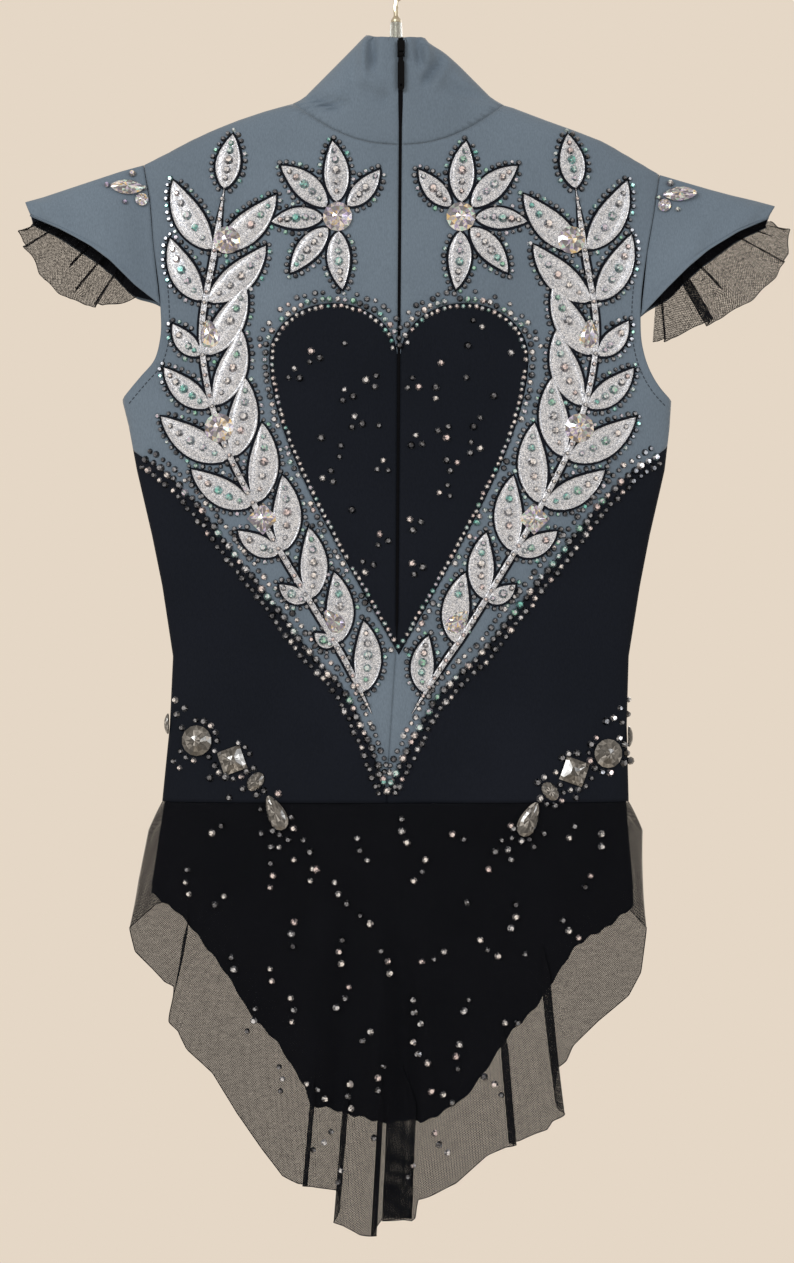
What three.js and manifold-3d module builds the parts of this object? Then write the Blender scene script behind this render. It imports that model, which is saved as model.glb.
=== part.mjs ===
// A figure skating dress hung flat on a clear hanger. Millimetres, +Z up.
// The origin is the inside top of the hook, where it rests on its rail.
// -Y is the dress's back, with the zip. +X is to the right of someone who looks at that back.

import * as THREE from 'three';
import { mergeVertices } from 'three/addons/utils/BufferGeometryUtils.js';
import Module from 'manifold-3d';

const wasm = await Module();
wasm.setup();

// ---------------------------------------------------------------- driving sizes

const BODY_CLOTH = 1.2;
const NET_CLOTH = 1.0;
const SEAM_GAP = 0.3;
const LENS_POWER = 2.4;
const BODY_COLUMNS = 32;
const CUT_DEPTH = 60;
const CUT_REACH = 260;
const CUT_OVERLAP = 5;

// The dress lies nearly flat. Each row is a level section: its left and right folds and
// its half depth, from the collar's top down over the shoulders to the hip seam.
const BODY_SECTIONS = [
  { height: -60, left: -18, right: 18, depth: 14 },
  { height: -66, left: -24, right: 21, depth: 15 },
  { height: -72, left: -30, right: 31, depth: 15 },
  { height: -80, left: -38, right: 40, depth: 15 },
  { height: -90, left: -48, right: 50, depth: 15 },
  { height: -100, left: -58, right: 60, depth: 15 },
  { height: -103.5, left: -65, right: 67, depth: 15 },
  { height: -108, left: -82, right: 79, depth: 15 },
  { height: -114, left: -100, right: 95, depth: 15 },
  { height: -120, left: -115, right: 112, depth: 15 },
  { height: -127, left: -130, right: 130, depth: 15 },
  { height: -134, left: -143, right: 142, depth: 15 },
  { height: -141, left: -157, right: 154, depth: 15.5 },
  { height: -147, left: -158, right: 164, depth: 15.5 },
  { height: -200, left: -160, right: 165.5, depth: 16 },
  { height: -250, left: -165, right: 167, depth: 16.5 },
  { height: -288, left: -170.5, right: 171.5, depth: 17 },
  { height: -304, left: -166.5, right: 170.5, depth: 17 },
  { height: -331, left: -161.5, right: 167.4, depth: 17 },
  { height: -372, left: -152, right: 158, depth: 17 },
  { height: -403, left: -145.7, right: 152, depth: 17 },
  { height: -447, left: -139, right: 145, depth: 16.5 },
  { height: -490, left: -141, right: 143.8, depth: 17 },
  { height: -537, left: -145.7, right: 145, depth: 18 },
];
const SIDE_SEAM_TOP = -102;
const HIP_SEAM = -537;

// The collar's slouched top edge.
const COLLAR_TOP = [
  { across: -60, height: -58 },
  { across: -22, height: -63 },
  { across: -18.6, height: -61.4 },
  { across: -11.8, height: -64.2 },
  { across: 1.2, height: -65.4 },
  { across: 14.9, height: -63.6 },
  { across: 20, height: -64 },
  { across: 60, height: -60 },
];

// The centre back line leans a little: the zip runs down it, then a plain seam.
const CENTRE_BACK = [
  { height: -55, across: 3, zipHalf: 1.5 },
  { height: -106, across: 2.8, zipHalf: 1.4 },
  { height: -120, across: 2.7, zipHalf: 1 },
  { height: -425, across: 0.6, zipHalf: 0.9 },
  { height: -437, across: 0.4, zipHalf: 0 },
  { height: -528, across: -5.6, zipHalf: 0 },
  { height: -545, across: -5.6, zipHalf: 0 },
];
const ZIP_END = -437;

// The collar seam is a shallow curve on each side of the dress.
const COLLAR_SEAM = {
  left: -68,
  right: 72,
  centre: 2,
  reach: 66,
  sideHeight: -104,
  power: 2.2,
  backDrop: 27,
  frontDrop: 34,
};

// The V seam between the grey yoke and the black body, as half widths about the centre line.
const BACK_V_SEAM = [
  { height: -306, half: 176 },
  { height: -316, half: 168 },
  { height: -333, half: 144 },
  { height: -352, half: 125 },
  { height: -371, half: 110 },
  { height: -393, half: 93 },
  { height: -418, half: 73 },
  { height: -442, half: 55 },
  { height: -471, half: 28 },
  { height: -498, half: 14 },
  { height: -529, half: 0 },
];
const FRONT_V_SEAM = [
  { height: -306, half: 176 },
  { height: -316, half: 168 },
  { height: -360, half: 96 },
  { height: -410, half: 0 },
];

// The black heart let into the back yoke: a round lobe, then one long curve to the point.
const HEART = {
  centre: 1.75,
  cleftHalf: 1,
  widest: 80,
  top: -229,
  shoulder: -262,
  bendHeight: -310,
  flankHalf: 42,
  flankHeight: -372,
  point: -446,
};

// Armhole edges, from the shoulder point to the top of the side seam.
// The sleeve is sewn to the first stretch, and the rest is a bare edge.
const ARMHOLES = {
  left: [
    { across: -157, height: -141 },
    { across: -152.5, height: -166 },
    { across: -150.5, height: -190 },
    { across: -146, height: -229 },
    { across: -146, height: -250 },
    { across: -150, height: -264 },
    { across: -158, height: -273 },
    { across: -170.5, height: -287 },
  ],
  right: [
    { across: 164, height: -147 },
    { across: 160, height: -172 },
    { across: 155.5, height: -197 },
    { across: 151.5, height: -236 },
    { across: 152.5, height: -254 },
    { across: 158, height: -271 },
    { across: 164.5, height: -281 },
    { across: 171.5, height: -288 },
  ],
};
const SLEEVE_SEAM_ROWS = 4;

// Cap sleeves: the folded top line and the turned hem, from the armhole to the tip.
const SLEEVES = {
  left: [
    { topAcross: -157.5, topHeight: -141, hemAcross: -146.5, hemHeight: -229, depth: 12 },
    { topAcross: -172, topHeight: -145, hemAcross: -162, hemHeight: -217, depth: 12.5 },
    { topAcross: -190, topHeight: -151, hemAcross: -177, hemHeight: -202, depth: 12.5 },
    { topAcross: -205, topHeight: -156, hemAcross: -189, hemHeight: -193, depth: 11.5 },
    { topAcross: -220, topHeight: -161, hemAcross: -208, hemHeight: -182, depth: 9 },
    { topAcross: -231, topHeight: -164, hemAcross: -227, hemHeight: -173, depth: 5 },
  ],
  right: [
    { topAcross: 164.5, topHeight: -147, hemAcross: 152, hemHeight: -236, depth: 12 },
    { topAcross: 178, topHeight: -151, hemAcross: 168, hemHeight: -219, depth: 12.5 },
    { topAcross: 195, topHeight: -156, hemAcross: 181, hemHeight: -206, depth: 12.5 },
    { topAcross: 210, topHeight: -160, hemAcross: 193, hemHeight: -196, depth: 11.5 },
    { topAcross: 223, topHeight: -163, hemAcross: 211, hemHeight: -184, depth: 9 },
    { topAcross: 236, topHeight: -166.5, hemAcross: 231, hemHeight: -174.5, depth: 5 },
  ],
};
const SLEEVE_COLUMNS = 10;
const SLEEVE_ROWS = 12;
const SLEEVE_SWELL_END = 0.35;
const FRONT_HEM_DROP = 9;
const FRONT_HEM_FROM = 0.3;

// The lining covers the inside of the front layer, from partway down to just above its hem.
const LINING_FROM = 0.72;
const LINING_TO = 0.995;

// Gathered net frills: the gathered edge inside the sleeve and the free lower edge.
const FRILLS = {
  left: [
    { topAcross: -214, topHeight: -171, lowAcross: -224, lowHeight: -177 },
    { topAcross: -208, topHeight: -173, lowAcross: -235.5, lowHeight: -183 },
    { topAcross: -200, topHeight: -177, lowAcross: -227, lowHeight: -198 },
    { topAcross: -190, topHeight: -184, lowAcross: -219, lowHeight: -213 },
    { topAcross: -178, topHeight: -193, lowAcross: -203, lowHeight: -225 },
    { topAcross: -168, topHeight: -203, lowAcross: -183, lowHeight: -229 },
    { topAcross: -158, topHeight: -213, lowAcross: -160, lowHeight: -223 },
  ],
  right: [
    { topAcross: 220, topHeight: -174, lowAcross: 233, lowHeight: -177 },
    { topAcross: 214, topHeight: -176, lowAcross: 245.5, lowHeight: -182 },
    { topAcross: 206, topHeight: -180, lowAcross: 243, lowHeight: -200 },
    { topAcross: 196, topHeight: -188, lowAcross: 232, lowHeight: -216 },
    { topAcross: 184, topHeight: -197, lowAcross: 214, lowHeight: -230 },
    { topAcross: 174, topHeight: -208, lowAcross: 190, lowHeight: -241 },
    { topAcross: 162, topHeight: -222, lowAcross: 160, lowHeight: -252 },
  ],
};
const FRILL_WAVES = 6;
const FRILL_COLUMNS = 36;
const FRILL_ROWS = 3;
const FRILL_TOP_WAVE = 1;
const FRILL_LOW_WAVE = 4;
const FRILL_CALM_SHARE = 0.15;

// Side edges of the two skirt layers, below the hip seam.
const NET_SIDES = [
  { height: -537.3, left: -145.7, right: 145 },
  { height: -555, left: -155, right: 155 },
  { height: -587, left: -163, right: 156 },
  { height: -616, left: -166, right: 156 },
];
const OPAQUE_SIDES = [
  { height: -537.3, left: -144, right: 143.4 },
  { height: -560, left: -148, right: 145 },
  { height: -596, left: -152.5, right: 148 },
];

// Hems: where each share of the hip seam's width ends.
const NET_BACK_HEM = [
  { share: 0, across: -166, height: -616 },
  { share: 0.03, across: -162, height: -630 },
  { share: 0.07, across: -151, height: -640 },
  { share: 0.1, across: -140, height: -651 },
  { share: 0.12, across: -138, height: -672 },
  { share: 0.15, across: -129, height: -689 },
  { share: 0.2, across: -113, height: -704 },
  { share: 0.25, across: -98, height: -729 },
  { share: 0.3, across: -82, height: -751 },
  { share: 0.335, across: -70, height: -766 },
  { share: 0.375, across: -56, height: -772 },
  { share: 0.43, across: -39, height: -776 },
  { share: 0.445, across: -36, height: -796 },
  { share: 0.48, across: -22, height: -802 },
  { share: 0.51, across: -12, height: -802 },
  { share: 0.52, across: -9, height: -792 },
  { share: 0.56, across: 11, height: -795 },
  { share: 0.57, across: 13.5, height: -781 },
  { share: 0.62, across: 37, height: -771 },
  { share: 0.66, across: 56, height: -754 },
  { share: 0.7, across: 72, height: -746 },
  { share: 0.76, across: 93, height: -739 },
  { share: 0.79, across: 101, height: -726 },
  { share: 0.81, across: 103, height: -700 },
  { share: 0.84, across: 109, height: -687 },
  { share: 0.89, across: 125, height: -672 },
  { share: 0.94, across: 144, height: -657 },
  { share: 0.97, across: 152, height: -643 },
  { share: 1, across: 156, height: -616 },
];
const OPAQUE_BACK_HEM = [
  { share: 0, across: -152.5, height: -595 },
  { share: 0.06, across: -136, height: -604 },
  { share: 0.15, across: -110, height: -635 },
  { share: 0.21, across: -91.5, height: -666 },
  { share: 0.27, across: -74, height: -685 },
  { share: 0.33, across: -56, height: -711 },
  { share: 0.34, across: -53, height: -724 },
  { share: 0.48, across: -7, height: -734 },
  { share: 0.55, across: 15, height: -734 },
  { share: 0.64, across: 41.5, height: -721 },
  { share: 0.73, across: 71, height: -679 },
  { share: 0.79, across: 88, height: -662 },
  { share: 0.86, across: 109, height: -628 },
  { share: 1, across: 148, height: -603 },
];
const NET_FRONT_HEM = [
  { share: 0, across: -166, height: -616 },
  { share: 0.05, across: -150, height: -602 },
  { share: 0.1, across: -134, height: -600 },
  { share: 0.2, across: -100, height: -632 },
  { share: 0.35, across: -50, height: -686 },
  { share: 0.5, across: -2, height: -708 },
  { share: 0.65, across: 48, height: -686 },
  { share: 0.8, across: 96, height: -634 },
  { share: 0.9, across: 128, height: -604 },
  { share: 0.95, across: 143, height: -602 },
  { share: 1, across: 156, height: -616 },
];
const OPAQUE_FRONT_HEM = [
  { share: 0, across: -152.5, height: -590 },
  { share: 0.1, across: -128, height: -596 },
  { share: 0.35, across: -50, height: -676 },
  { share: 0.5, across: -2, height: -697 },
  { share: 0.65, across: 48, height: -676 },
  { share: 0.9, across: 122, height: -598 },
  { share: 1, across: 148, height: -592 },
];

// Hanging folds of the skirt's back: each runs down from the hip, deepening to the hem.
// push is how far the fold stands out (or in, if negative) at the hem.
const BACK_FOLDS = [
  { topAcross: -112, hemAcross: -134, push: 5, halfWidth: 8 },
  { topAcross: -75, hemAcross: -98, push: -3, halfWidth: 12 },
  { topAcross: -38, hemAcross: -58, push: 4.5, halfWidth: 9 },
  { topAcross: -24, hemAcross: -36, push: -4, halfWidth: 7 },
  { topAcross: -8, hemAcross: -14, push: 5.5, halfWidth: 8 },
  { topAcross: 4, hemAcross: 6, push: -4.5, halfWidth: 7 },
  { topAcross: 16, hemAcross: 20, push: 4.5, halfWidth: 9 },
  { topAcross: 48, hemAcross: 68, push: 4.5, halfWidth: 9 },
  { topAcross: 72, hemAcross: 88, push: -3, halfWidth: 9 },
  { topAcross: 92, hemAcross: 104, push: 5, halfWidth: 8 },
];
const FRONT_FOLDS = [
  { topAcross: -90, hemAcross: -104, push: 3, halfWidth: 14 },
  { topAcross: -30, hemAcross: -36, push: 3, halfWidth: 14 },
  { topAcross: 32, hemAcross: 38, push: 3, halfWidth: 14 },
  { topAcross: 88, hemAcross: 100, push: 3, halfWidth: 14 },
];
const FOLD_START = -545;
const FOLD_FULL = -730;
const FOLD_REACH = 1.4;
const NET_DEPTH = 18;
const LAYER_STEP = 1.9;
const LAYER_STEP_LOW = 3.6;
const LAYER_STEP_REACH = 30;

// Briefs inside the skirt.
const BRIEFS_SECTIONS = [
  { height: -537.5, left: -139.5, right: 139, depth: 14 },
  { height: -556, left: -138, right: 137, depth: 11.8 },
  { height: -590, left: -133, right: 132, depth: 11 },
  { height: -630, left: -128, right: 127, depth: 10 },
  { height: -676, left: -121, right: 120, depth: 8 },
];
const LEGS = { top: -562, hipHalf: 135, bendHalf: 55, bendHeight: -610, crotchHalf: 36 };

// Hanger.
const HANGER_TOP = [
  { across: 3.6, height: -61 },
  { across: 9, height: -64 },
  { across: 17, height: -69 },
  { across: 30, height: -80 },
  { across: 50, height: -97.6 },
  { across: 72, height: -109.6 },
  { across: 112, height: -124 },
  { across: 146, height: -139.9 },
];
const HANGER = {
  armHeight: 12,
  underShrink: 0.995,
  underFrom: 40,
  underMiddle: -96,
  thick: 7,
  bevel: 1.8,
  neckRadius: 3.6,
  neckFlare: 0.8,
  neckTop: -52.4,
  neckFoot: -70,
};
const FERRULE = {
  socketRadius: 2.6,
  radius: 2.3,
  foot: -61.7,
  ringRadius: 3.2,
  ringHeight: 1.6,
  coneHeight: 4,
};
const HOOK = { wire: 1.55, innerRadius: 17, stemTop: -46, endAngle: -0.35 };

// Zip slider and its pull tab, which swings about a pin across the slider.
const SLIDER = { across: 3.1, top: -67.5, length: 6.5, width: 4.6, thick: 2.2, earThick: 0.8 };
const TAB = {
  pinHeight: -76.2,
  pinRadius: 0.6,
  eyeRadius: 1.7,
  eyeBore: 0.9,
  neckLength: 4.2,
  width: 4.2,
  length: 22,
  thick: 1,
  windowRadius: 0.9,
};

// Large stones. across and height are on the back unless edge says which side fold they sit at.
const ROUND = 10;
const STONE_LIFT = 0.5;
const EDGE_STONE_LIFT = 0.9;
const SLEEVE_STONE_LIFT = 0.8;
const LINING_GAP = 0.6;
const STONES = [
  { name: 'belt_left_edge', cut: 'oval', edge: 'left', height: -489, width: 9, length: 13, turn: 0 },
  { name: 'belt_left_round', cut: 'round', across: -123, height: -499, width: 19, length: 19, turn: 0 },
  { name: 'belt_left_square', cut: 'square', across: -101, height: -511, width: 15, length: 15, turn: 20 },
  { name: 'belt_left_oval', cut: 'oval', across: -86.5, height: -524, width: 9, length: 13, turn: -40 },
  { name: 'belt_left_pear', cut: 'pear', across: -74, height: -543, width: 11, length: 23, turn: 25 },
  { name: 'belt_right_edge', cut: 'oval', edge: 'right', height: -497, width: 9, length: 13, turn: 0 },
  { name: 'belt_right_round', cut: 'round', across: 131, height: -507, width: 18, length: 18, turn: 0 },
  { name: 'belt_right_square', cut: 'square', across: 110, height: -518, width: 15, length: 15, turn: -20 },
  { name: 'belt_right_oval', cut: 'oval', across: 95, height: -530, width: 9, length: 13, turn: 40 },
  { name: 'belt_right_pear', cut: 'pear', across: 82, height: -547, width: 11, length: 23, turn: -25 },
  { name: 'neck_left_round', cut: 'round', across: -36, height: -176, width: 18, length: 18, turn: 0 },
  { name: 'neck_right_round', cut: 'round', across: 40, height: -176, width: 18, length: 18, turn: 0 },
  { name: 'spray_left_top', cut: 'round', across: -104, height: -190, width: 17, length: 17, turn: 0 },
  { name: 'spray_left_high', cut: 'pear', across: -115, height: -248, width: 12, length: 18, turn: 8 },
  { name: 'spray_left_middle', cut: 'round', across: -109, height: -306, width: 18, length: 18, turn: 0 },
  { name: 'spray_left_low', cut: 'square', across: -82, height: -362, width: 14, length: 14, turn: 45 },
  { name: 'spray_left_foot', cut: 'pear', across: -38, height: -425, width: 11, length: 17, turn: 40 },
  { name: 'spray_right_top', cut: 'round', across: 108, height: -190, width: 17, length: 17, turn: 0 },
  { name: 'spray_right_high', cut: 'pear', across: 119, height: -248, width: 12, length: 18, turn: -8 },
  { name: 'spray_right_middle', cut: 'round', across: 113, height: -306, width: 18, length: 18, turn: 0 },
  { name: 'spray_right_low', cut: 'square', across: 85, height: -362, width: 14, length: 14, turn: 45 },
  { name: 'spray_right_foot', cut: 'pear', across: 38, height: -425, width: 11, length: 17, turn: -40 },
];
const SLEEVE_STONES = [
  { side: 'left', cut: 'oval', along: 0.16, down: 0.18, width: 9.5, length: 21, turn: 80 },
  { side: 'left', cut: 'round', along: 0.06, down: 0.3, width: 8, length: 8, turn: 0 },
  { side: 'right', cut: 'oval', along: 0.2, down: 0.16, width: 9.5, length: 21, turn: -80 },
  { side: 'right', cut: 'round', along: 0.08, down: 0.27, width: 8, length: 8, turn: 0 },
];
const STONE_HEIGHT_SHARE = 0.3;
const STONE_GIRDLE_SHARE = 0.3;
const STONE_TABLE_SHARE = 0.5;

// ---------------------------------------------------------------- materials

function material(color, roughness, metalness = 0, opacity = 1) {
  return new THREE.MeshStandardMaterial({ color, roughness, metalness, opacity, transparent: opacity < 1 });
}

const GREY_LYCRA = material(0x6c7582, 0.6);
const BLACK_LYCRA = material(0x14161e, 0.55);
const BLACK_NET = material(0x1a1a1c, 0.8, 0, 0.6);
const ZIP_BLACK = material(0x0c0c0e, 0.5);
const CLEAR_PLASTIC = material(0xdfe6ea, 0.15, 0, 0.4);
const HOOK_METAL = material(0xb9b3a2, 0.3, 1);
const DARK_STONE = material(0x78736a, 0.15, 0.6);
const CLEAR_STONE = material(0xdde4ee, 0.08, 0.3);

// ---------------------------------------------------------------- small tools

const lerp = THREE.MathUtils.lerp;
const smooth = THREE.MathUtils.smoothstep;

// Reads a table at a value of one column, between its rows.
function lookUp(table, key, value) {
  const rising = table[table.length - 1][key] > table[0][key];
  let row = 1;
  while (row < table.length - 1 && (rising ? table[row][key] < value : table[row][key] > value)) {
    row += 1;
  }
  const from = table[row - 1];
  const to = table[row];
  const share = THREE.MathUtils.clamp((value - from[key]) / (to[key] - from[key]), 0, 1);
  return Object.fromEntries(Object.keys(from).map((name) => [name, lerp(from[name], to[name], share)]));
}

// Reads an evenly spaced table at a share from 0 to 1.
function along(table, share) {
  const place = THREE.MathUtils.clamp(share, 0, 1) * (table.length - 1);
  const row = Math.min(Math.floor(place), table.length - 2);
  const names = Object.keys(table[0]);
  const [from, to] = [table[row], table[row + 1]];
  return Object.fromEntries(names.map((name) => [name, lerp(from[name], to[name], place - row)]));
}

function signedVolume(points, triangles) {
  let total = 0;
  for (let i = 0; i < triangles.length; i += 3) {
    const [a, b, c] = [points[triangles[i]], points[triangles[i + 1]], points[triangles[i + 2]]];
    total += a.dot(new THREE.Vector3().crossVectors(b, c)) / 6;
  }
  return total;
}

// A closed solid from points and triangles, turned to face outwards.
function solidFrom(points, triangles) {
  const outward = signedVolume(points, triangles) > 0;
  const triVerts = new Uint32Array(triangles);
  if (!outward) {
    triVerts.reverse();
  }
  const vertProperties = new Float32Array(points.flatMap((point) => point.toArray()));
  return new wasm.Manifold(new wasm.Mesh({ numProp: 3, vertProperties, triVerts }));
}

function solidOf(geometry) {
  const bare = geometry.clone();
  bare.deleteAttribute('normal');
  bare.deleteAttribute('uv');
  const merged = mergeVertices(bare, 1e-4);
  const vertProperties = new Float32Array(merged.attributes.position.array);
  const triVerts = new Uint32Array(merged.index.array);
  return new wasm.Manifold(new wasm.Mesh({ numProp: 3, vertProperties, triVerts }));
}

function geometryOf(solid) {
  const mesh = solid.getMesh();
  const geometry = new THREE.BufferGeometry();
  geometry.setAttribute('position', new THREE.BufferAttribute(new Float32Array(mesh.vertProperties), 3));
  geometry.setIndex(new THREE.BufferAttribute(new Uint32Array(mesh.triVerts), 1));
  geometry.computeVertexNormals();
  return geometry;
}

function quad(triangles, a, b, c, d) {
  triangles.push(a, b, c, a, c, d);
}

// A full solid through level rings, with flat ends.
function ringStack(rings) {
  const count = rings[0].length;
  const points = rings.flat();
  const triangles = [];
  for (let row = 0; row + 1 < rings.length; row += 1) {
    for (let i = 0; i < count; i += 1) {
      const next = (i + 1) % count;
      const [here, below] = [row * count, (row + 1) * count];
      quad(triangles, here + i, here + next, below + next, below + i);
    }
  }
  for (const [row, reversed] of [[0, true], [rings.length - 1, false]]) {
    const middle = points.length;
    const sum = rings[row].reduce((total, point) => total.add(point), new THREE.Vector3());
    points.push(sum.divideScalar(count));
    for (let i = 0; i < count; i += 1) {
      const ends = [row * count + i, row * count + ((i + 1) % count)];
      triangles.push(middle, ...(reversed ? ends.reverse() : ends));
    }
  }
  return solidFrom(points, triangles);
}

// The grid's points moved inwards by a cloth's thickness, along the surface's normals.
function insetGrid(rows, distance, closedAround) {
  const count = rows[0].length;
  const columnAt = (i) => (closedAround ? (i + count) % count : THREE.MathUtils.clamp(i, 0, count - 1));
  return rows.map((line, row) => line.map((point, i) => {
    const down = rows[Math.min(row + 1, rows.length - 1)][i].clone().sub(rows[Math.max(row - 1, 0)][i]);
    const across = line[columnAt(i + 1)].clone().sub(line[columnAt(i - 1)]);
    const normal = new THREE.Vector3().crossVectors(across, down).normalize();
    return point.clone().addScaledVector(normal, distance);
  }));
}

// A wall of cloth between an outer and an inner grid of points.
function clothWall(outer, inner) {
  const rows = outer.length;
  const count = outer[0].length;
  const points = [...outer.flat(), ...inner.flat()];
  const shift = rows * count;
  const triangles = [];
  for (let row = 0; row + 1 < rows; row += 1) {
    for (let i = 0; i + 1 < count; i += 1) {
      const corner = row * count + i;
      quad(triangles, corner, corner + 1, corner + count + 1, corner + count);
      const behind = shift + corner;
      quad(triangles, behind, behind + count, behind + count + 1, behind + 1);
    }
  }
  for (let i = 0; i + 1 < count; i += 1) {
    const last = (rows - 1) * count + i;
    quad(triangles, i, shift + i, shift + i + 1, i + 1);
    quad(triangles, last, last + 1, shift + last + 1, shift + last);
  }
  for (let row = 0; row + 1 < rows; row += 1) {
    const first = row * count;
    const end = first + count - 1;
    quad(triangles, first, first + count, shift + first + count, shift + first);
    quad(triangles, end, shift + end, shift + end + count, end + count);
  }
  return solidFrom(points, triangles);
}

// A flat outline in X and Z, drawn out along Y.
function prism(shape, nearY, farY) {
  const settings = { depth: farY - nearY, bevelEnabled: false, curveSegments: 6 };
  const geometry = new THREE.ExtrudeGeometry(shape, settings);
  geometry.rotateX(Math.PI / 2);
  geometry.translate(0, farY, 0);
  return solidOf(geometry);
}

function box(lowX, lowY, lowZ, highX, highY, highZ) {
  const geometry = new THREE.BoxGeometry(highX - lowX, highY - lowY, highZ - lowZ);
  geometry.translate((lowX + highX) / 2, (lowY + highY) / 2, (lowZ + highZ) / 2);
  return solidOf(geometry);
}

// A seam's cut: a ribbon as wide as the seam gap, through the back or the front.
function seamCut(path, side) {
  const forward = [];
  const backward = [];
  path.forEach((point, i) => {
    const ahead = path[Math.min(i + 1, path.length - 1)];
    const behind = path[Math.max(i - 1, 0)];
    const direction = ahead.clone().sub(behind).normalize();
    const offset = new THREE.Vector2(-direction.y, direction.x).multiplyScalar(SEAM_GAP / 2);
    forward.push(point.clone().add(offset));
    backward.unshift(point.clone().sub(offset));
  });
  const shape = new THREE.Shape([...forward, ...backward]);
  return side === 'back' ? prism(shape, -CUT_DEPTH, 0) : prism(shape, 0, CUT_DEPTH);
}

// ---------------------------------------------------------------- the body's surface

// How deep a lens-shaped section is at a share across it, from 0 at a fold to 1 in the middle.
function lens(across, left, right) {
  const share = Math.abs(across - (left + right) / 2) / ((right - left) / 2);
  return Math.pow(Math.max(1 - Math.pow(share, LENS_POWER), 0), 1 / LENS_POWER);
}

function bodyDepth(across, height) {
  const section = lookUp(BODY_SECTIONS, 'height', height);
  return section.depth * lens(across, section.left, section.right);
}

function bodyRing(section) {
  const ring = [];
  for (let i = 0; i < BODY_COLUMNS; i += 1) {
    const angle = (2 * Math.PI * i) / BODY_COLUMNS;
    const share = Math.sign(Math.cos(angle)) * Math.pow(Math.abs(Math.cos(angle)), 2 / LENS_POWER);
    const out = Math.sign(Math.sin(angle)) * Math.pow(Math.abs(Math.sin(angle)), 2 / LENS_POWER);
    const across = lerp(section.left, section.right, (1 + share) / 2);
    ring.push(new THREE.Vector3(across, section.depth * out, section.height));
  }
  return ring;
}

function bodyShell() {
  const outer = BODY_SECTIONS.map(bodyRing);
  const inner = insetGrid(outer, BODY_CLOTH, true);
  inner[0].forEach((point) => point.setZ(outer[0][0].z + CUT_OVERLAP));
  inner[inner.length - 1].forEach((point) => point.setZ(HIP_SEAM - CUT_OVERLAP));
  return ringStack(outer).subtract(ringStack(inner));
}

// ---------------------------------------------------------------- seams of the body

const vector2 = (across, height) => new THREE.Vector2(across, height);

function centreBack(height) {
  return lookUp(CENTRE_BACK, 'height', height).across;
}

function zipEdge(sign) {
  const rows = CENTRE_BACK.filter((row) => row.height >= ZIP_END);
  return rows.map((row) => vector2(row.across + sign * row.zipHalf, row.height));
}

function collarSeam(from, to, drop) {
  const steps = 8;
  const path = [];
  for (let i = 0; i <= steps; i += 1) {
    const across = lerp(from, to, i / steps);
    const share = Math.abs(across - COLLAR_SEAM.centre) / COLLAR_SEAM.reach;
    path.push(vector2(across, COLLAR_SEAM.sideHeight - drop * (1 - Math.pow(share, COLLAR_SEAM.power))));
  }
  return path;
}

function vSeam(table, sign) {
  return table.map((row) => vector2(centreBack(row.height) + sign * row.half, row.height));
}

// One side of the heart, from the cleft over the lobe and down to the point.
function heartEdge(sign) {
  const middle = (HEART.cleftHalf + HEART.widest) / 2;
  const lobeHalf = (HEART.widest - HEART.cleftHalf) / 2;
  const rise = HEART.top - HEART.shoulder;
  const lobe = new THREE.EllipseCurve(middle, HEART.shoulder, lobeHalf, rise, Math.PI, 0, true);
  const flank = new THREE.CubicBezierCurve(
    vector2(HEART.widest, HEART.shoulder),
    vector2(HEART.widest, HEART.bendHeight),
    vector2(HEART.flankHalf, HEART.flankHeight),
    vector2(0, HEART.point),
  );
  const points = [...lobe.getPoints(10), ...flank.getPoints(8).slice(1)];
  return points.map((point) => vector2(HEART.centre + sign * point.x, point.y));
}

function armholeCut(side) {
  const edge = ARMHOLES[side].map((row) => vector2(row.across, row.height));
  const outside = Math.sign(ARMHOLES[side][0].across) * CUT_REACH;
  const first = edge[0];
  const last = edge[edge.length - 1];
  const corners = [vector2(outside, last.y), vector2(outside, first.y)];
  return prism(new THREE.Shape([...edge, ...corners]), -CUT_DEPTH, CUT_DEPTH);
}

function collarTopCut() {
  const edge = COLLAR_TOP.map((row) => vector2(row.across, row.height));
  const above = BODY_SECTIONS[0].height + CUT_DEPTH / 2;
  const corners = [vector2(edge[edge.length - 1].x, above), vector2(edge[0].x, above)];
  return prism(new THREE.Shape([...edge, ...corners]), -CUT_DEPTH, CUT_DEPTH);
}

// The connected piece of a cut wall that lies at a place on the back or the front.
function pieceAt(pieces, across, height, side) {
  const reach = side === 'back' ? [-CUT_DEPTH, -1] : [1, CUT_DEPTH];
  const half = 0.3;
  const probe = box(
    across - half, reach[0], height - half,
    across + half, reach[1], height + half,
  );
  const found = pieces.find((piece) => piece.intersect(probe).volume() > 0);
  if (!found) {
    throw new Error(`no piece at ${across}, ${height}, ${side}`);
  }
  return found;
}

// ---------------------------------------------------------------- the group

const dress = new THREE.Group();
dress.name = 'figure_skating_dress';

function place(name, geometry, look) {
  const mesh = new THREE.Mesh(geometry, look);
  mesh.name = name;
  dress.add(mesh);
  return mesh;
}

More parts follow.
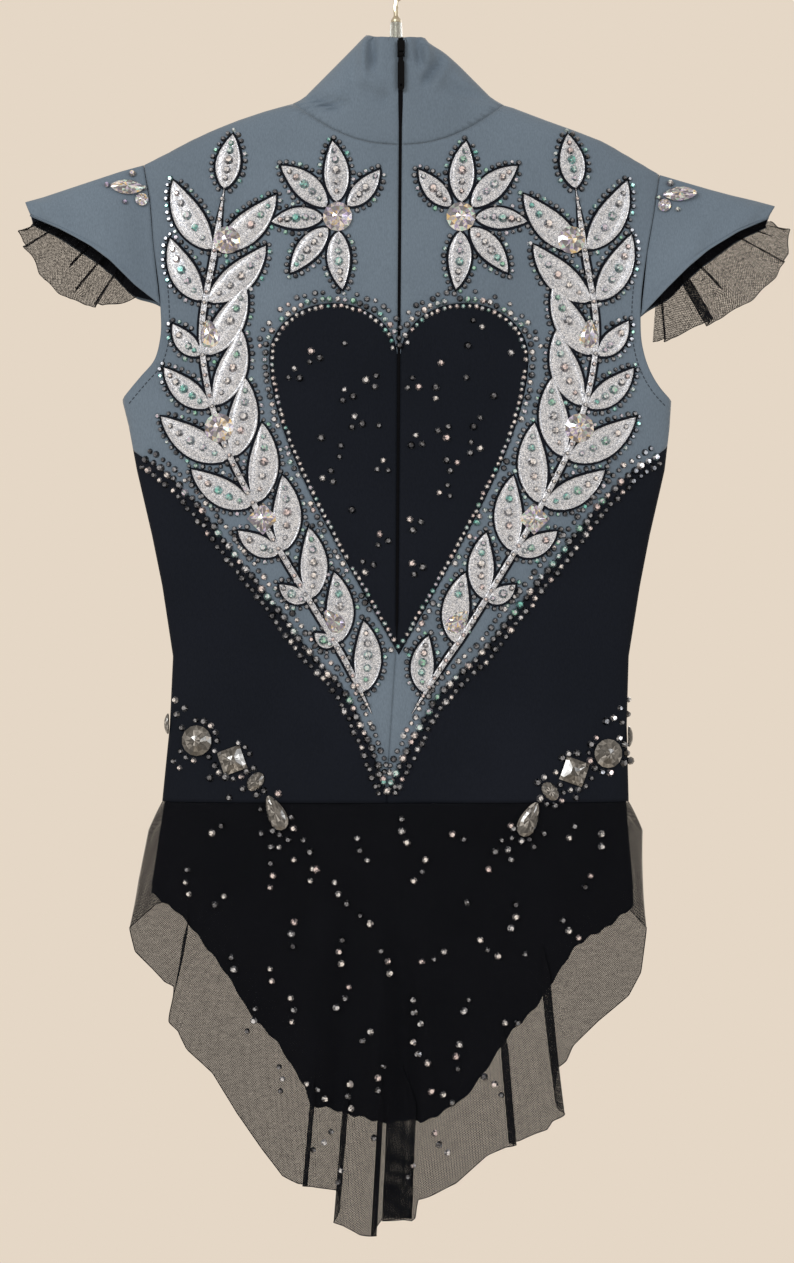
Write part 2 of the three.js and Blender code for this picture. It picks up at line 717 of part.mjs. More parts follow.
function buildBody() {
  const zipLine = centreBack(ZIP_END);
  const zipTop = centreBack(COLLAR_SEAM.sideHeight - COLLAR_SEAM.backDrop);
  const centreSeam = CENTRE_BACK.slice(-2).map((row) => vector2(row.across, row.height));
  const cuts = [
    collarTopCut(),
    armholeCut('left'),
    armholeCut('right'),
    box(
      -CUT_REACH, -SEAM_GAP / 2, HIP_SEAM - CUT_OVERLAP,
      CUT_REACH, SEAM_GAP / 2, SIDE_SEAM_TOP,
    ),
    seamCut(zipEdge(-1), 'back'),
    seamCut(zipEdge(1), 'back'),
    seamCut([vector2(zipLine, ZIP_END + 2 * SEAM_GAP), ...centreSeam], 'back'),
    seamCut(collarSeam(COLLAR_SEAM.left, zipTop - 1, COLLAR_SEAM.backDrop), 'back'),
    seamCut(collarSeam(zipTop + 1, COLLAR_SEAM.right, COLLAR_SEAM.backDrop), 'back'),
    seamCut(collarSeam(COLLAR_SEAM.left, COLLAR_SEAM.right, COLLAR_SEAM.frontDrop), 'front'),
    ...[-1, 1].map((sign) => seamCut(vSeam(BACK_V_SEAM, sign), 'back')),
    ...[-1, 1].map((sign) => seamCut(vSeam(FRONT_V_SEAM, sign), 'front')),
    ...[-1, 1].map((sign) => seamCut(heartEdge(sign), 'back')),
  ];
  const pieces = cuts.reduce((wall, cut) => wall.subtract(cut), bodyShell()).decompose();
  const names = [
    { name: 'collar', across: -15, height: -90, side: 'back', look: GREY_LYCRA },
    { name: 'back_yoke_left', across: -100, height: -200, side: 'back', look: GREY_LYCRA },
    { name: 'back_yoke_right', across: 100, height: -200, side: 'back', look: GREY_LYCRA },
    { name: 'heart_left', across: -40, height: -300, side: 'back', look: BLACK_LYCRA },
    { name: 'heart_right', across: 40, height: -300, side: 'back', look: BLACK_LYCRA },
    { name: 'back_side_left', across: -100, height: -450, side: 'back', look: BLACK_LYCRA },
    { name: 'back_side_right', across: 100, height: -450, side: 'back', look: BLACK_LYCRA },
    { name: 'zip_strip', across: centreBack(-300), height: -300, side: 'back', look: ZIP_BLACK },
    { name: 'front_yoke', across: 0, height: -250, side: 'front', look: GREY_LYCRA },
    { name: 'front_body', across: 0, height: -480, side: 'front', look: BLACK_LYCRA },
  ];
  for (const { name, across, height, side, look } of names) {
    place(name, geometryOf(pieceAt(pieces, across, height, side)), look);
  }
}

// ---------------------------------------------------------------- sleeves

// A sleeve's outer surface. share runs from the armhole to the tip; turn runs from the back
// hem (0) over the folded top (half way) to the front hem (1).
function sleevePoint(side, share, turn) {
  const row = along(SLEEVES[side], share);
  const seam = ARMHOLES[side].slice(0, SLEEVE_SEAM_ROWS);
  const angle = Math.PI * turn;
  const down = 1 - Math.sin(angle);
  const front = Math.cos(angle) < 0;
  const edge = along(seam, down);
  const foot = along(SLEEVES[side], 0);
  const pull = Math.pow(1 - share, 2);
  const outward = Math.sign(foot.topAcross) * SEAM_GAP;
  let across = lerp(row.topAcross, row.hemAcross, down);
  let height = lerp(row.topHeight, row.hemHeight, down);
  across += pull * (edge.across + outward - lerp(foot.topAcross, foot.hemAcross, down));
  height += pull * (edge.height - lerp(foot.topHeight, foot.hemHeight, down));
  const swell = smooth(share, 0, SLEEVE_SWELL_END);
  const loose = row.depth * Math.abs(Math.cos(angle));
  const depth = lerp(bodyDepth(edge.across, edge.height), loose, swell);
  if (front) {
    const fading = smooth(share, 0, FRONT_HEM_FROM) * (1 - 0.5 * share);
    height -= FRONT_HEM_DROP * down * down * fading;
  }
  return new THREE.Vector3(across, front ? depth : -depth, height);
}

function sleeveGrid(side, fromTurn, toTurn, rows) {
  const grid = [];
  for (let row = 0; row <= rows; row += 1) {
    const line = [];
    for (let i = 0; i <= SLEEVE_COLUMNS; i += 1) {
      const share = side === 'left' ? 1 - i / SLEEVE_COLUMNS : i / SLEEVE_COLUMNS;
      line.push(sleevePoint(side, share, lerp(fromTurn, toTurn, row / rows)));
    }
    grid.push(line);
  }
  return grid;
}

function buildSleeve(side) {
  const outer = sleeveGrid(side, 0, 1, SLEEVE_ROWS);
  const inner = insetGrid(outer, -BODY_CLOTH, false);
  place(`sleeve_${side}`, geometryOf(clothWall(outer, inner)), GREY_LYCRA);
}

function buildLining(side) {
  const shell = sleeveGrid(side, LINING_FROM, LINING_TO, 3);
  const outer = insetGrid(shell, -(BODY_CLOTH + LINING_GAP), false);
  const inner = insetGrid(shell, -(BODY_CLOTH + LINING_GAP + NET_CLOTH), false);
  place(`sleeve_lining_${side}`, geometryOf(clothWall(outer, inner)), BLACK_LYCRA);
}

function buildFrill(side) {
  const grid = [];
  for (let row = 0; row <= FRILL_ROWS; row += 1) {
    const line = [];
    for (let i = 0; i <= FRILL_COLUMNS; i += 1) {
      const share = i / FRILL_COLUMNS;
      const edge = along(FRILLS[side], share);
      const down = row / FRILL_ROWS;
      const calm = smooth(Math.min(share, 1 - share), 0, FRILL_CALM_SHARE);
      const size = calm * lerp(FRILL_TOP_WAVE, FRILL_LOW_WAVE, down);
      const wave = size * Math.sin(2 * Math.PI * FRILL_WAVES * share);
      const across = lerp(edge.topAcross, edge.lowAcross, down);
      line.push(new THREE.Vector3(across, wave, lerp(edge.topHeight, edge.lowHeight, down)));
    }
    grid.push(line);
  }
  const half = NET_CLOTH / 2;
  const wall = clothWall(insetGrid(grid, -half, false), insetGrid(grid, half, false));
  place(`frill_${side}`, geometryOf(wall), BLACK_NET);
}

// ---------------------------------------------------------------- skirt

function foldPush(folds, across, height) {
  const down = smooth(FOLD_START - height, 0, FOLD_START - FOLD_FULL);
  const run = Math.min((FOLD_START - height) / (FOLD_START - FOLD_FULL), FOLD_REACH);
  let push = 0;
  for (const fold of folds) {
    const middle = lerp(fold.topAcross, fold.hemAcross, run);
    push += fold.push * Math.exp(-Math.pow((across - middle) / fold.halfWidth, 2));
  }
  return push * down;
}

function skirtDepth(layer, across, height) {
  const sides = lookUp(layer.sides, 'height', height);
  const net = lookUp(NET_SIDES, 'height', height);
  const fade = Math.pow(lens(across, net.left, net.right), 2);
  const below = smooth(HIP_SEAM - height, 0, LAYER_STEP_REACH);
  const step = layer.net ? 0 : lerp(LAYER_STEP, LAYER_STEP_LOW, below);
  const fold = foldPush(layer.folds, across, height) * fade;
  return (NET_DEPTH - step) * lens(across, sides.left, sides.right) + fold;
}

function skirtGrid(layer) {
  const grid = [];
  const top = layer.sides[0];
  for (let row = 0; row <= layer.rows; row += 1) {
    const line = [];
    for (let i = 0; i <= layer.columns; i += 1) {
      const even = i / layer.columns;
      const share = (even + (1 - Math.cos(Math.PI * even)) / 2) / 2;
      const hem = lookUp(layer.hem, 'share', share);
      const down = row / layer.rows;
      const height = lerp(top.height, hem.height, down);
      const sides = lookUp(layer.sides, 'height', height);
      const straight = lerp(lerp(top.left, top.right, share), hem.across, down);
      const bulge = lerp(sides.left, sides.right, share) - straight;
      const across = straight + bulge * (1 - down) * Math.abs(2 * share - 1);
      const depth = skirtDepth(layer, across, height) + SEAM_GAP / 2;
      line.push(new THREE.Vector3(across, layer.front ? depth : -depth, height));
    }
    grid.push(line);
  }
  return grid;
}

const SKIRT_LAYERS = [
  { name: 'net_skirt_back', net: true, front: false, columns: 46, rows: 7, hem: NET_BACK_HEM },
  { name: 'net_skirt_front', net: true, front: true, columns: 18, rows: 4, hem: NET_FRONT_HEM },
  { name: 'underskirt_back', net: false, front: false, columns: 34, rows: 5, hem: OPAQUE_BACK_HEM },
  { name: 'underskirt_front', net: false, front: true, columns: 16, rows: 4, hem: OPAQUE_FRONT_HEM },
].map((layer) => ({
  ...layer,
  sides: layer.net ? NET_SIDES : OPAQUE_SIDES,
  folds: layer.front ? FRONT_FOLDS : BACK_FOLDS,
}));

function buildSkirt(layer) {
  const outer = skirtGrid(layer);
  const thickness = layer.net ? NET_CLOTH : BODY_CLOTH;
  const inner = insetGrid(outer, layer.front ? -thickness : thickness, false);
  const middle = SEAM_GAP / 2;
  const keepOff = (y) => (layer.front ? Math.max(y, middle) : Math.min(y, -middle));
  inner.flat().forEach((point) => point.setY(keepOff(point.y)));
  place(layer.name, geometryOf(clothWall(outer, inner)), layer.net ? BLACK_NET : BLACK_LYCRA);
}

function buildBriefs() {
  const outer = BRIEFS_SECTIONS.map(bodyRing);
  const inner = insetGrid(outer, BODY_CLOTH, true);
  const crotch = outer[outer.length - 1][0].z;
  const foot = crotch - CUT_OVERLAP;
  inner[0].forEach((point) => point.setZ(outer[0][0].z + CUT_OVERLAP));
  inner[inner.length - 1].forEach((point) => point.setZ(crotch + BODY_CLOTH));
  const shell = ringStack(outer).subtract(ringStack(inner));
  const legs = [-1, 1].map((sign) => {
    const leg = new THREE.Shape();
    leg.moveTo(sign * CUT_REACH, LEGS.top);
    leg.lineTo(sign * LEGS.hipHalf, LEGS.top);
    leg.quadraticCurveTo(sign * LEGS.bendHalf, LEGS.bendHeight, sign * LEGS.crotchHalf, foot);
    leg.lineTo(sign * CUT_REACH, foot);
    return prism(leg, -CUT_DEPTH, CUT_DEPTH);
  });
  place('briefs', geometryOf(shell.subtract(legs[0]).subtract(legs[1])), BLACK_LYCRA);
}

// ---------------------------------------------------------------- hanger

function buildHanger() {
  const topRight = HANGER_TOP.map((row) => vector2(row.across, row.height));
  const topLeft = topRight.map((point) => vector2(-point.x, point.y)).reverse();
  const under = (point) => vector2(point.x * HANGER.underShrink, point.y - HANGER.armHeight);
  const foot = topRight.filter((point) => point.x > HANGER.underFrom);
  const underRight = foot.map(under).reverse();
  const underLeft = foot.map(under).map((point) => vector2(-point.x, point.y));
  const middle = vector2(0, HANGER.underMiddle);
  const outline = new THREE.Shape([...topLeft, ...topRight, ...underRight, middle, ...underLeft]);
  const arms = new THREE.ExtrudeGeometry(outline, {
    depth: HANGER.thick - 2 * HANGER.bevel,
    bevelThickness: HANGER.bevel,
    bevelSize: HANGER.bevel,
    bevelOffset: -HANGER.bevel,
    bevelSegments: 1,
  });
  arms.rotateX(Math.PI / 2);
  arms.translate(0, HANGER.thick / 2 - HANGER.bevel, 0);
  const tall = HANGER.neckTop - HANGER.neckFoot;
  const neckFootRadius = HANGER.neckRadius + HANGER.neckFlare;
  const neck = new THREE.CylinderGeometry(HANGER.neckRadius, neckFootRadius, tall, 16);
  neck.rotateX(Math.PI / 2);
  neck.translate(0, 0, HANGER.neckTop - tall / 2);
  const socketDepth = HANGER.neckTop - FERRULE.foot + SEAM_GAP + CUT_OVERLAP;
  const { socketRadius } = FERRULE;
  const socket = new THREE.CylinderGeometry(socketRadius, socketRadius, socketDepth, 16);
  socket.rotateX(Math.PI / 2);
  socket.translate(0, 0, FERRULE.foot - SEAM_GAP + socketDepth / 2);
  const body = solidOf(arms).add(solidOf(neck)).subtract(solidOf(socket));
  place('hanger_body', geometryOf(body), CLEAR_PLASTIC);
}

function buildHook() {
  const rim = HANGER.neckTop + SEAM_GAP;
  const profile = [
    [0, FERRULE.foot],
    [FERRULE.radius, FERRULE.foot],
    [FERRULE.radius, rim],
    [FERRULE.ringRadius, rim],
    [FERRULE.ringRadius, rim + FERRULE.ringHeight],
    [HOOK.wire, rim + FERRULE.coneHeight],
    [HOOK.wire, HOOK.stemTop + FERRULE.coneHeight],
    [0, HOOK.stemTop + FERRULE.coneHeight],
  ];
  const stem = new THREE.LatheGeometry(profile.map(([radius, height]) => vector2(radius, height)), 16);
  stem.rotateX(Math.PI / 2);
  const radius = HOOK.innerRadius + HOOK.wire;
  const centre = -HOOK.innerRadius;
  const path = [new THREE.Vector3(0, 0, HOOK.stemTop), new THREE.Vector3(0, 0, centre - radius - 3)];
  const turns = 12;
  for (let i = 0; i <= turns; i += 1) {
    const angle = lerp(-Math.PI / 3, Math.PI - HOOK.endAngle, i / turns);
    path.push(new THREE.Vector3(radius * Math.cos(angle), 0, centre + radius * Math.sin(angle)));
  }
  const circle = new THREE.Shape().absarc(0, 0, HOOK.wire, 0, 2 * Math.PI);
  const wire = new THREE.ExtrudeGeometry(circle, {
    steps: 26,
    curveSegments: 4,
    extrudePath: new THREE.CatmullRomCurve3(path, false, 'centripetal'),
  });
  place('hanger_hook', geometryOf(solidOf(stem).add(solidOf(wire))), HOOK_METAL);
}

// ---------------------------------------------------------------- zip slider and tab

function buildZip() {
  const seatY = -bodyDepth(SLIDER.across, SLIDER.top - SLIDER.length / 2) - SEAM_GAP;
  const half = SLIDER.width / 2;
  const bottom = SLIDER.top - SLIDER.length;
  const pinY = seatY - TAB.eyeRadius - 0.1;
  const body = box(
    SLIDER.across - half, seatY - SLIDER.thick, bottom,
    SLIDER.across + half, seatY, SLIDER.top,
  );
  const earFoot = TAB.pinHeight - TAB.pinRadius - 0.6;
  const ears = [-1, 1].map((sign) => {
    const inner = SLIDER.across + sign * (half - SLIDER.earThick);
    const outer = SLIDER.across + sign * half;
    return box(Math.min(inner, outer), pinY - 1, earFoot, Math.max(inner, outer), seatY, bottom + 1);
  });
  const pin = new THREE.CylinderGeometry(TAB.pinRadius, TAB.pinRadius, SLIDER.width - 0.4, 10);
  pin.rotateZ(Math.PI / 2);
  pin.translate(SLIDER.across, pinY, TAB.pinHeight);
  place('zip_slider', geometryOf(body.add(ears[0]).add(ears[1]).add(solidOf(pin))), ZIP_BLACK);

  const eyeWidth = SLIDER.width - 2 * SLIDER.earThick - 2 * SEAM_GAP;
  const eye = new THREE.CylinderGeometry(TAB.eyeRadius, TAB.eyeRadius, eyeWidth, 14);
  eye.rotateZ(Math.PI / 2);
  eye.translate(SLIDER.across, pinY, TAB.pinHeight);
  const bore = new THREE.CylinderGeometry(TAB.eyeBore, TAB.eyeBore, eyeWidth + 2, 12);
  bore.rotateZ(Math.PI / 2);
  bore.translate(SLIDER.across, pinY, TAB.pinHeight);
  const neckFoot = TAB.pinHeight - TAB.neckLength;
  const tip = TAB.pinHeight - TAB.length;
  const plate = new THREE.Shape();
  plate.moveTo(SLIDER.across - eyeWidth / 2, TAB.pinHeight - TAB.eyeBore - 0.2);
  plate.lineTo(SLIDER.across - eyeWidth / 2, neckFoot + 1);
  plate.lineTo(SLIDER.across - TAB.width / 2, neckFoot - 1);
  plate.lineTo(SLIDER.across - TAB.width / 2, tip + TAB.width / 2);
  plate.absarc(SLIDER.across, tip + TAB.width / 2, TAB.width / 2, Math.PI, 2 * Math.PI);
  plate.lineTo(SLIDER.across + TAB.width / 2, neckFoot - 1);
  plate.lineTo(SLIDER.across + eyeWidth / 2, neckFoot + 1);
  plate.lineTo(SLIDER.across + eyeWidth / 2, TAB.pinHeight - TAB.eyeBore - 0.2);
  const window = new THREE.Path();
  const windowHeight = tip + TAB.width / 2 + 1;
  window.absarc(SLIDER.across, windowHeight, TAB.windowRadius, 0, 2 * Math.PI, true);
  plate.holes.push(window);
  const settings = { depth: TAB.thick, bevelEnabled: false, curveSegments: 6 };
  const flat = new THREE.ExtrudeGeometry(plate, settings);
  flat.rotateX(Math.PI / 2);
  flat.translate(0, pinY + TAB.thick / 2, 0);
  place('zip_tab', geometryOf(solidOf(eye).add(solidOf(flat)).subtract(solidOf(bore))), ZIP_BLACK);
}

// ---------------------------------------------------------------- stones

// A faceted stone that lies on the XY plane, with its long side along Y.
function stoneGeometry(stone) {
  const radius = stone.width / 2;
  const tall = Math.max(stone.width * STONE_HEIGHT_SHARE, 2.2);
  const profile = [
    [0, 0],
    [radius, 0],
    [radius, tall * STONE_GIRDLE_SHARE],
    [radius * STONE_TABLE_SHARE, tall],
    [0, tall],
  ].map(([across, up]) => vector2(across, up));
  const geometry = new THREE.LatheGeometry(profile, stone.cut === 'square' ? 4 : ROUND);
  geometry.rotateX(Math.PI / 2);
  if (stone.cut === 'square') {
    geometry.rotateZ(Math.PI / 4);
    geometry.scale(Math.SQRT2, Math.SQRT2, 1);
  }
  geometry.scale(1, stone.length / stone.width, 1);
  if (stone.cut === 'pear') {
    const points = geometry.attributes.position;
    for (let i = 0; i < points.count; i += 1) {
      points.setX(i, points.getX(i) * (1 - (0.75 * points.getY(i)) / stone.length));
    }
  }
  return geometryOf(solidOf(geometry));
}

function surfaceFrame(pointAt) {
  const step = 1;
  const point = pointAt(0, 0);
  const across = pointAt(step, 0).sub(pointAt(-step, 0)).normalize();
  const up = pointAt(0, step).sub(pointAt(0, -step));
  const normal = new THREE.Vector3().crossVectors(across, up).normalize();
  const upright = new THREE.Vector3().crossVectors(normal, across);
  return { point, normal, basis: new THREE.Matrix4().makeBasis(across, upright, normal) };
}

function setStone(stone, frame, look, lift) {
  const mesh = place(stone.name, stoneGeometry(stone), look);
  mesh.quaternion.setFromRotationMatrix(frame.basis);
  mesh.rotateZ(THREE.MathUtils.degToRad(stone.turn));
  mesh.position.copy(frame.point).addScaledVector(frame.normal, lift);
}

function buildStones() {
  for (const stone of STONES) {
    const look = stone.name.startsWith('belt') ? DARK_STONE : CLEAR_STONE;
    if (stone.edge) {
      const fold = lookUp(BODY_SECTIONS, 'height', stone.height)[stone.edge];
      const outward = new THREE.Vector3(Math.sign(fold), 0, 0);
      const up = new THREE.Vector3(0, 0, 1);
      const basis = new THREE.Matrix4().makeBasis(up.clone().cross(outward), up, outward);
      const point = new THREE.Vector3(fold, 0, stone.height);
      setStone(stone, { point, normal: outward, basis }, look, EDGE_STONE_LIFT);
      continue;
    }
    const pointAt = (x, z) => {
      const [across, height] = [stone.across + x, stone.height + z];
      const onSkirt = skirtDepth(SKIRT_LAYERS[0], across, height) + SEAM_GAP / 2;
      const depth = height < HIP_SEAM ? onSkirt : bodyDepth(across, height);
      return new THREE.Vector3(across, -depth, height);
    };
    setStone(stone, surfaceFrame(pointAt), look, STONE_LIFT);
  }
  for (const stone of SLEEVE_STONES) {
    const turn = Math.asin(1 - stone.down) / Math.PI;
    const sign = stone.side === 'left' ? -1 : 1;
    const pointAt = (x, z) => sleevePoint(stone.side, stone.along + (sign * x) / 80, turn + z / 160);
    const name = `sleeve_${stone.side}_${stone.cut}`;
    setStone({ ...stone, name }, surfaceFrame(pointAt), CLEAR_STONE, SLEEVE_STONE_LIFT);
  }
}

buildBody();
for (const side of ['left', 'right']) {
  buildSleeve(side);
  buildLining(side);
  buildFrill(side);
}
SKIRT_LAYERS.forEach(buildSkirt);
buildBriefs();
buildHanger();
buildHook();
buildZip();
buildStones();

export default dress;
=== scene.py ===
"""A figure skating dress hung flat on a clear hanger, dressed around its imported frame.

Tables are in millimetres, as in the part's source, and meshes are made in metres. +Z is up,
-Y is the dress's back with the zip, and the origin is the inside top of the hook.
"""

import math

import bpy
import numpy as np
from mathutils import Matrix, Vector
from mathutils.geometry import delaunay_2d_cdt


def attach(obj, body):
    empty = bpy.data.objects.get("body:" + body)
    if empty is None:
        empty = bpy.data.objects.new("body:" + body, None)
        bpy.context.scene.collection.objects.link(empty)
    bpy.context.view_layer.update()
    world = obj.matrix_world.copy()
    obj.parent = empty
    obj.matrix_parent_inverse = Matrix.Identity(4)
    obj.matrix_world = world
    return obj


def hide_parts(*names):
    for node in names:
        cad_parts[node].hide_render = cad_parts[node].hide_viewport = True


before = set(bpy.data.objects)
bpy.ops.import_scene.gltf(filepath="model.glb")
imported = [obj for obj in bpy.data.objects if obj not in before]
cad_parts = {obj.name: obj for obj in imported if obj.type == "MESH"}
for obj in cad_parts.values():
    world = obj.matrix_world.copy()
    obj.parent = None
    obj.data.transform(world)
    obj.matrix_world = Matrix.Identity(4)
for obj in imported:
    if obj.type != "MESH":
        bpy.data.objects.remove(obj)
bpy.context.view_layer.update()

MM = 0.001
BODY = "dress"

# ---------------------------------------------------------------- the dress's sizes

LENS_POWER = 2.4
SEAM_GAP = 0.3
BODY_CLOTH = 1.1
HIP_SEAM = -537
# How far apart the points of a body wall lie, and how many times finer the grids are.
STEP = 2.5
FINE = 2
SIDES = (("left", -1), ("right", 1))

# height, left fold, right fold, half depth
BODY_SECTIONS = [
    (-56, -16, 16, 13.5), (-60, -18, 18, 14), (-66, -24, 21, 15), (-72, -30, 31, 15),
    (-80, -38, 40, 15), (-90, -48, 50, 15), (-100, -58, 60, 15), (-103.5, -65, 67, 15),
    (-108, -82, 79, 15), (-114, -100, 95, 15), (-120, -115, 112, 15), (-127, -130, 130, 15),
    (-134, -143, 142, 15), (-141, -157, 154, 15.5), (-147, -158, 164, 15.5),
    (-200, -160, 165.5, 16), (-250, -165, 167, 16.5), (-288, -170.5, 171.5, 17),
    (-304, -166.5, 170.5, 17), (-331, -161.5, 167.4, 17), (-372, -152, 158, 17),
    (-403, -145.7, 152, 17), (-447, -139, 145, 16.5), (-490, -141, 143.8, 17),
    (-537, -145.7, 145, 18),
]
# across, height
COLLAR_TOP = [
    (-60, -58), (-22, -63), (-18.6, -61.4), (-11.8, -64.2), (1.2, -65.4), (14.9, -63.6),
    (20, -64), (60, -60),
]
# height, across, half width of the zip strip
CENTRE_BACK = [
    (-55, 3, 1.5), (-106, 2.8, 1.4), (-120, 2.7, 1), (-425, 0.6, 0.9), (-437, 0.4, 0),
    (-528, -5.6, 0), (-545, -5.6, 0),
]
ZIP_END = -437
COLLAR_SEAM = {"centre": 2, "reach": 66, "side": -104, "power": 2.2, "back": 27, "front": 34}
# height, half width about the centre back
BACK_V_SEAM = [
    (-306, 176), (-316, 168), (-333, 144), (-352, 125), (-371, 110), (-393, 93), (-418, 73),
    (-442, 55), (-471, 28), (-498, 14), (-529, 0),
]
FRONT_V_SEAM = [(-306, 176), (-316, 168), (-360, 96), (-410, 0)]
HEART = {"centre": 1.75, "cleft": 1, "widest": 80, "top": -229, "shoulder": -262, "point": -446}
HEART_FLANK = [(80, -310), (42, -372)]
# across, height
ARMHOLES = {
    "left": [
        (-157, -141), (-152.5, -166), (-150.5, -190), (-146, -229), (-146, -250), (-150, -264),
        (-158, -273), (-170.5, -287),
    ],
    "right": [
        (164, -147), (160, -172), (155.5, -197), (151.5, -236), (152.5, -254), (158, -271),
        (164.5, -281), (171.5, -288),
    ],
}
SLEEVE_SEAM_ROWS = 4
# top across, top height, hem across, hem height, half depth
SLEEVES = {
    "left": [
        (-157.5, -141, -146.5, -229, 12), (-172, -145, -162, -217, 12.5),
        (-190, -151, -177, -202, 12.5), (-205, -156, -189, -193, 11.5),
        (-220, -161, -208, -182, 9), (-231, -164, -227, -173, 5),
    ],
    "right": [
        (164.5, -147, 152, -236, 12), (178, -151, 168, -219, 12.5),
        (195, -156, 181, -206, 12.5), (210, -160, 193, -196, 11.5),
        (223, -163, 211, -184, 9), (236, -166.5, 231, -174.5, 5),
    ],
}
FRONT_HEM_DROP = 9
LINING_GAP = 0.6
# top across, top height, low across, low height
FRILLS = {
    "left": [
        (-214, -171, -224, -177), (-208, -173, -235.5, -183), (-200, -177, -227, -198),
        (-190, -184, -219, -213), (-178, -193, -203, -225), (-168, -203, -183, -229),
        (-158, -213, -160, -223),
    ],
    "right": [
        (220, -174, 233, -177), (214, -176, 245.5, -182), (206, -180, 243, -200),
        (196, -188, 232, -216), (184, -197, 214, -230), (174, -208, 190, -241),
        (162, -222, 160, -252),
    ],
}
FRILL_WAVES = 6
# height, left, right
NET_SIDES = [(-537.3, -145.7, 145), (-555, -155, 155), (-587, -163, 156), (-616, -166, 156)]
OPAQUE_SIDES = [(-537.3, -144, 143.4), (-560, -148, 145), (-596, -152.5, 148)]
# share of the hip seam, across, height
NET_BACK_HEM = [
    (0, -166, -616), (0.03, -162, -630), (0.07, -151, -640), (0.1, -140, -651),
    (0.12, -138, -672), (0.15, -129, -689), (0.2, -113, -704), (0.25, -98, -729),
    (0.3, -82, -751), (0.335, -70, -766), (0.375, -56, -772), (0.43, -39, -776),
    (0.445, -36, -796), (0.48, -22, -802), (0.51, -12, -802), (0.52, -9, -792),
    (0.56, 11, -795), (0.57, 13.5, -781), (0.62, 37, -771), (0.66, 56, -754),
    (0.7, 72, -746), (0.76, 93, -739), (0.79, 101, -726), (0.81, 103, -700),
    (0.84, 109, -687), (0.89, 125, -672), (0.94, 144, -657), (0.97, 152, -643),
    (1, 156, -616),
]
OPAQUE_BACK_HEM = [
    (0, -152.5, -595), (0.06, -136, -604), (0.15, -110, -635), (0.21, -91.5, -666),
    (0.27, -74, -685), (0.33, -56, -711), (0.34, -53, -724), (0.48, -7, -734),
    (0.55, 15, -734), (0.64, 41.5, -721), (0.73, 71, -679), (0.79, 88, -662),
    (0.86, 109, -628), (1, 148, -603),
]
NET_FRONT_HEM = [
    (0, -166, -616), (0.05, -150, -602), (0.1, -134, -600), (0.2, -100, -632),
    (0.35, -50, -686), (0.5, -2, -708), (0.65, 48, -686), (0.8, 96, -634),
    (0.9, 128, -604), (0.95, 143, -602), (1, 156, -616),
]
OPAQUE_FRONT_HEM = [
    (0, -152.5, -590), (0.1, -128, -596), (0.35, -50, -676), (0.5, -2, -697),
    (0.65, 48, -676), (0.9, 122, -598), (1, 148, -592),
]
# across at the top, across at the hem, push at the hem, half width
BACK_FOLDS = [
    (-112, -134, 5, 8), (-75, -98, -3, 12), (-38, -58, 4.5, 9), (-24, -36, -4, 7),
    (-8, -14, 5.5, 8), (4, 6, -4.5, 7), (16, 20, 4.5, 9), (48, 68, 4.5, 9),
    (72, 88, -3, 9), (92, 104, 5, 8),
]
FRONT_FOLDS = [(-90, -104, 3, 14), (-30, -36, 3, 14), (32, 38, 3, 14), (88, 100, 3, 14)]
FOLD_START = -545
FOLD_FULL = -730
NET_DEPTH = 18
LAYER_STEP = 1.9
LAYER_STEP_LOW = 3.6
BRIEFS_SECTIONS = [
    (-537.5, -139.5, 139, 14), (-556, -138, 137, 11.8), (-590, -133, 132, 11),
    (-630, -128, 127, 10), (-676, -121, 120, 8),
]
# from the fold straight in, then a curve down past the crotch: across, height
LEG_LINE = [(150, -562), (135, -562), (55, -610), (36, -681)]

# ---------------------------------------------------------------- small tools


def column(table, index):
    return np.array([row[index] for row in table], float)


def read(table, values, key=0):
    """The table's other columns at values of its key column, which rises or falls."""
    keys = column(table, key)
    order = np.argsort(keys)
    others = [i for i in range(len(table[0])) if i != key]
    return [np.interp(values, keys[order], column(table, i)[order]) for i in others]


def along(table, share):
    """Each column of an evenly spaced table at shares from 0 to 1."""
    places = np.linspace(0, 1, len(table))
    return [np.interp(share, places, column(table, i)) for i in range(len(table[0]))]


def smooth(value, low, high):
    t = np.clip((np.asarray(value, float) - low) / (high - low), 0, 1)
    return t * t * (3 - 2 * t)


def lerp(a, b, share):
    return a + (b - a) * share


def lens(across, left, right):
    share = np.abs(across - (left + right) / 2) / ((right - left) / 2)
    return np.maximum(1 - np.minimum(share, 1) ** LENS_POWER, 0) ** (1 / LENS_POWER)


def unit(vectors):
    return vectors / np.maximum(np.linalg.norm(vectors, axis=-1, keepdims=True), 1e-12)


def stations(path, step, least):
    """How far along a path its points lie, and even steps along it, of which least is fewest."""
    places = np.concatenate([[0], np.cumsum(np.hypot(*np.diff(path, axis=0).T))])
    count = max(int(round(places[-1] / step)), least)
    return places, np.linspace(0, places[-1], count + 1)


def curve_points(path, step):
    """A polyline's points again, evenly spaced by about one step."""
    path = np.array(path, float)
    places, wanted = stations(path, step, 1)
    return np.stack([np.interp(wanted, places, path[:, i]) for i in range(2)], axis=1)


def rounded(path, step=3.0):
    """The same polyline as a smooth curve through its points."""
    path = np.array(path, float)
    places, wanted = stations(path, step, 2)
    slopes = np.gradient(path, places, axis=0)
    row = np.clip(np.searchsorted(places, wanted, side="right") - 1, 0, len(path) - 2)
    span = (places[row + 1] - places[row])[:, None]
    t = (wanted - places[row])[:, None] / span
    return (
        (2 * t**3 - 3 * t**2 + 1) * path[row] + (t**3 - 2 * t**2 + t) * slopes[row] * span
        + (3 * t**2 - 2 * t**3) * path[row + 1] + (t**3 - t**2) * slopes[row + 1] * span
    )


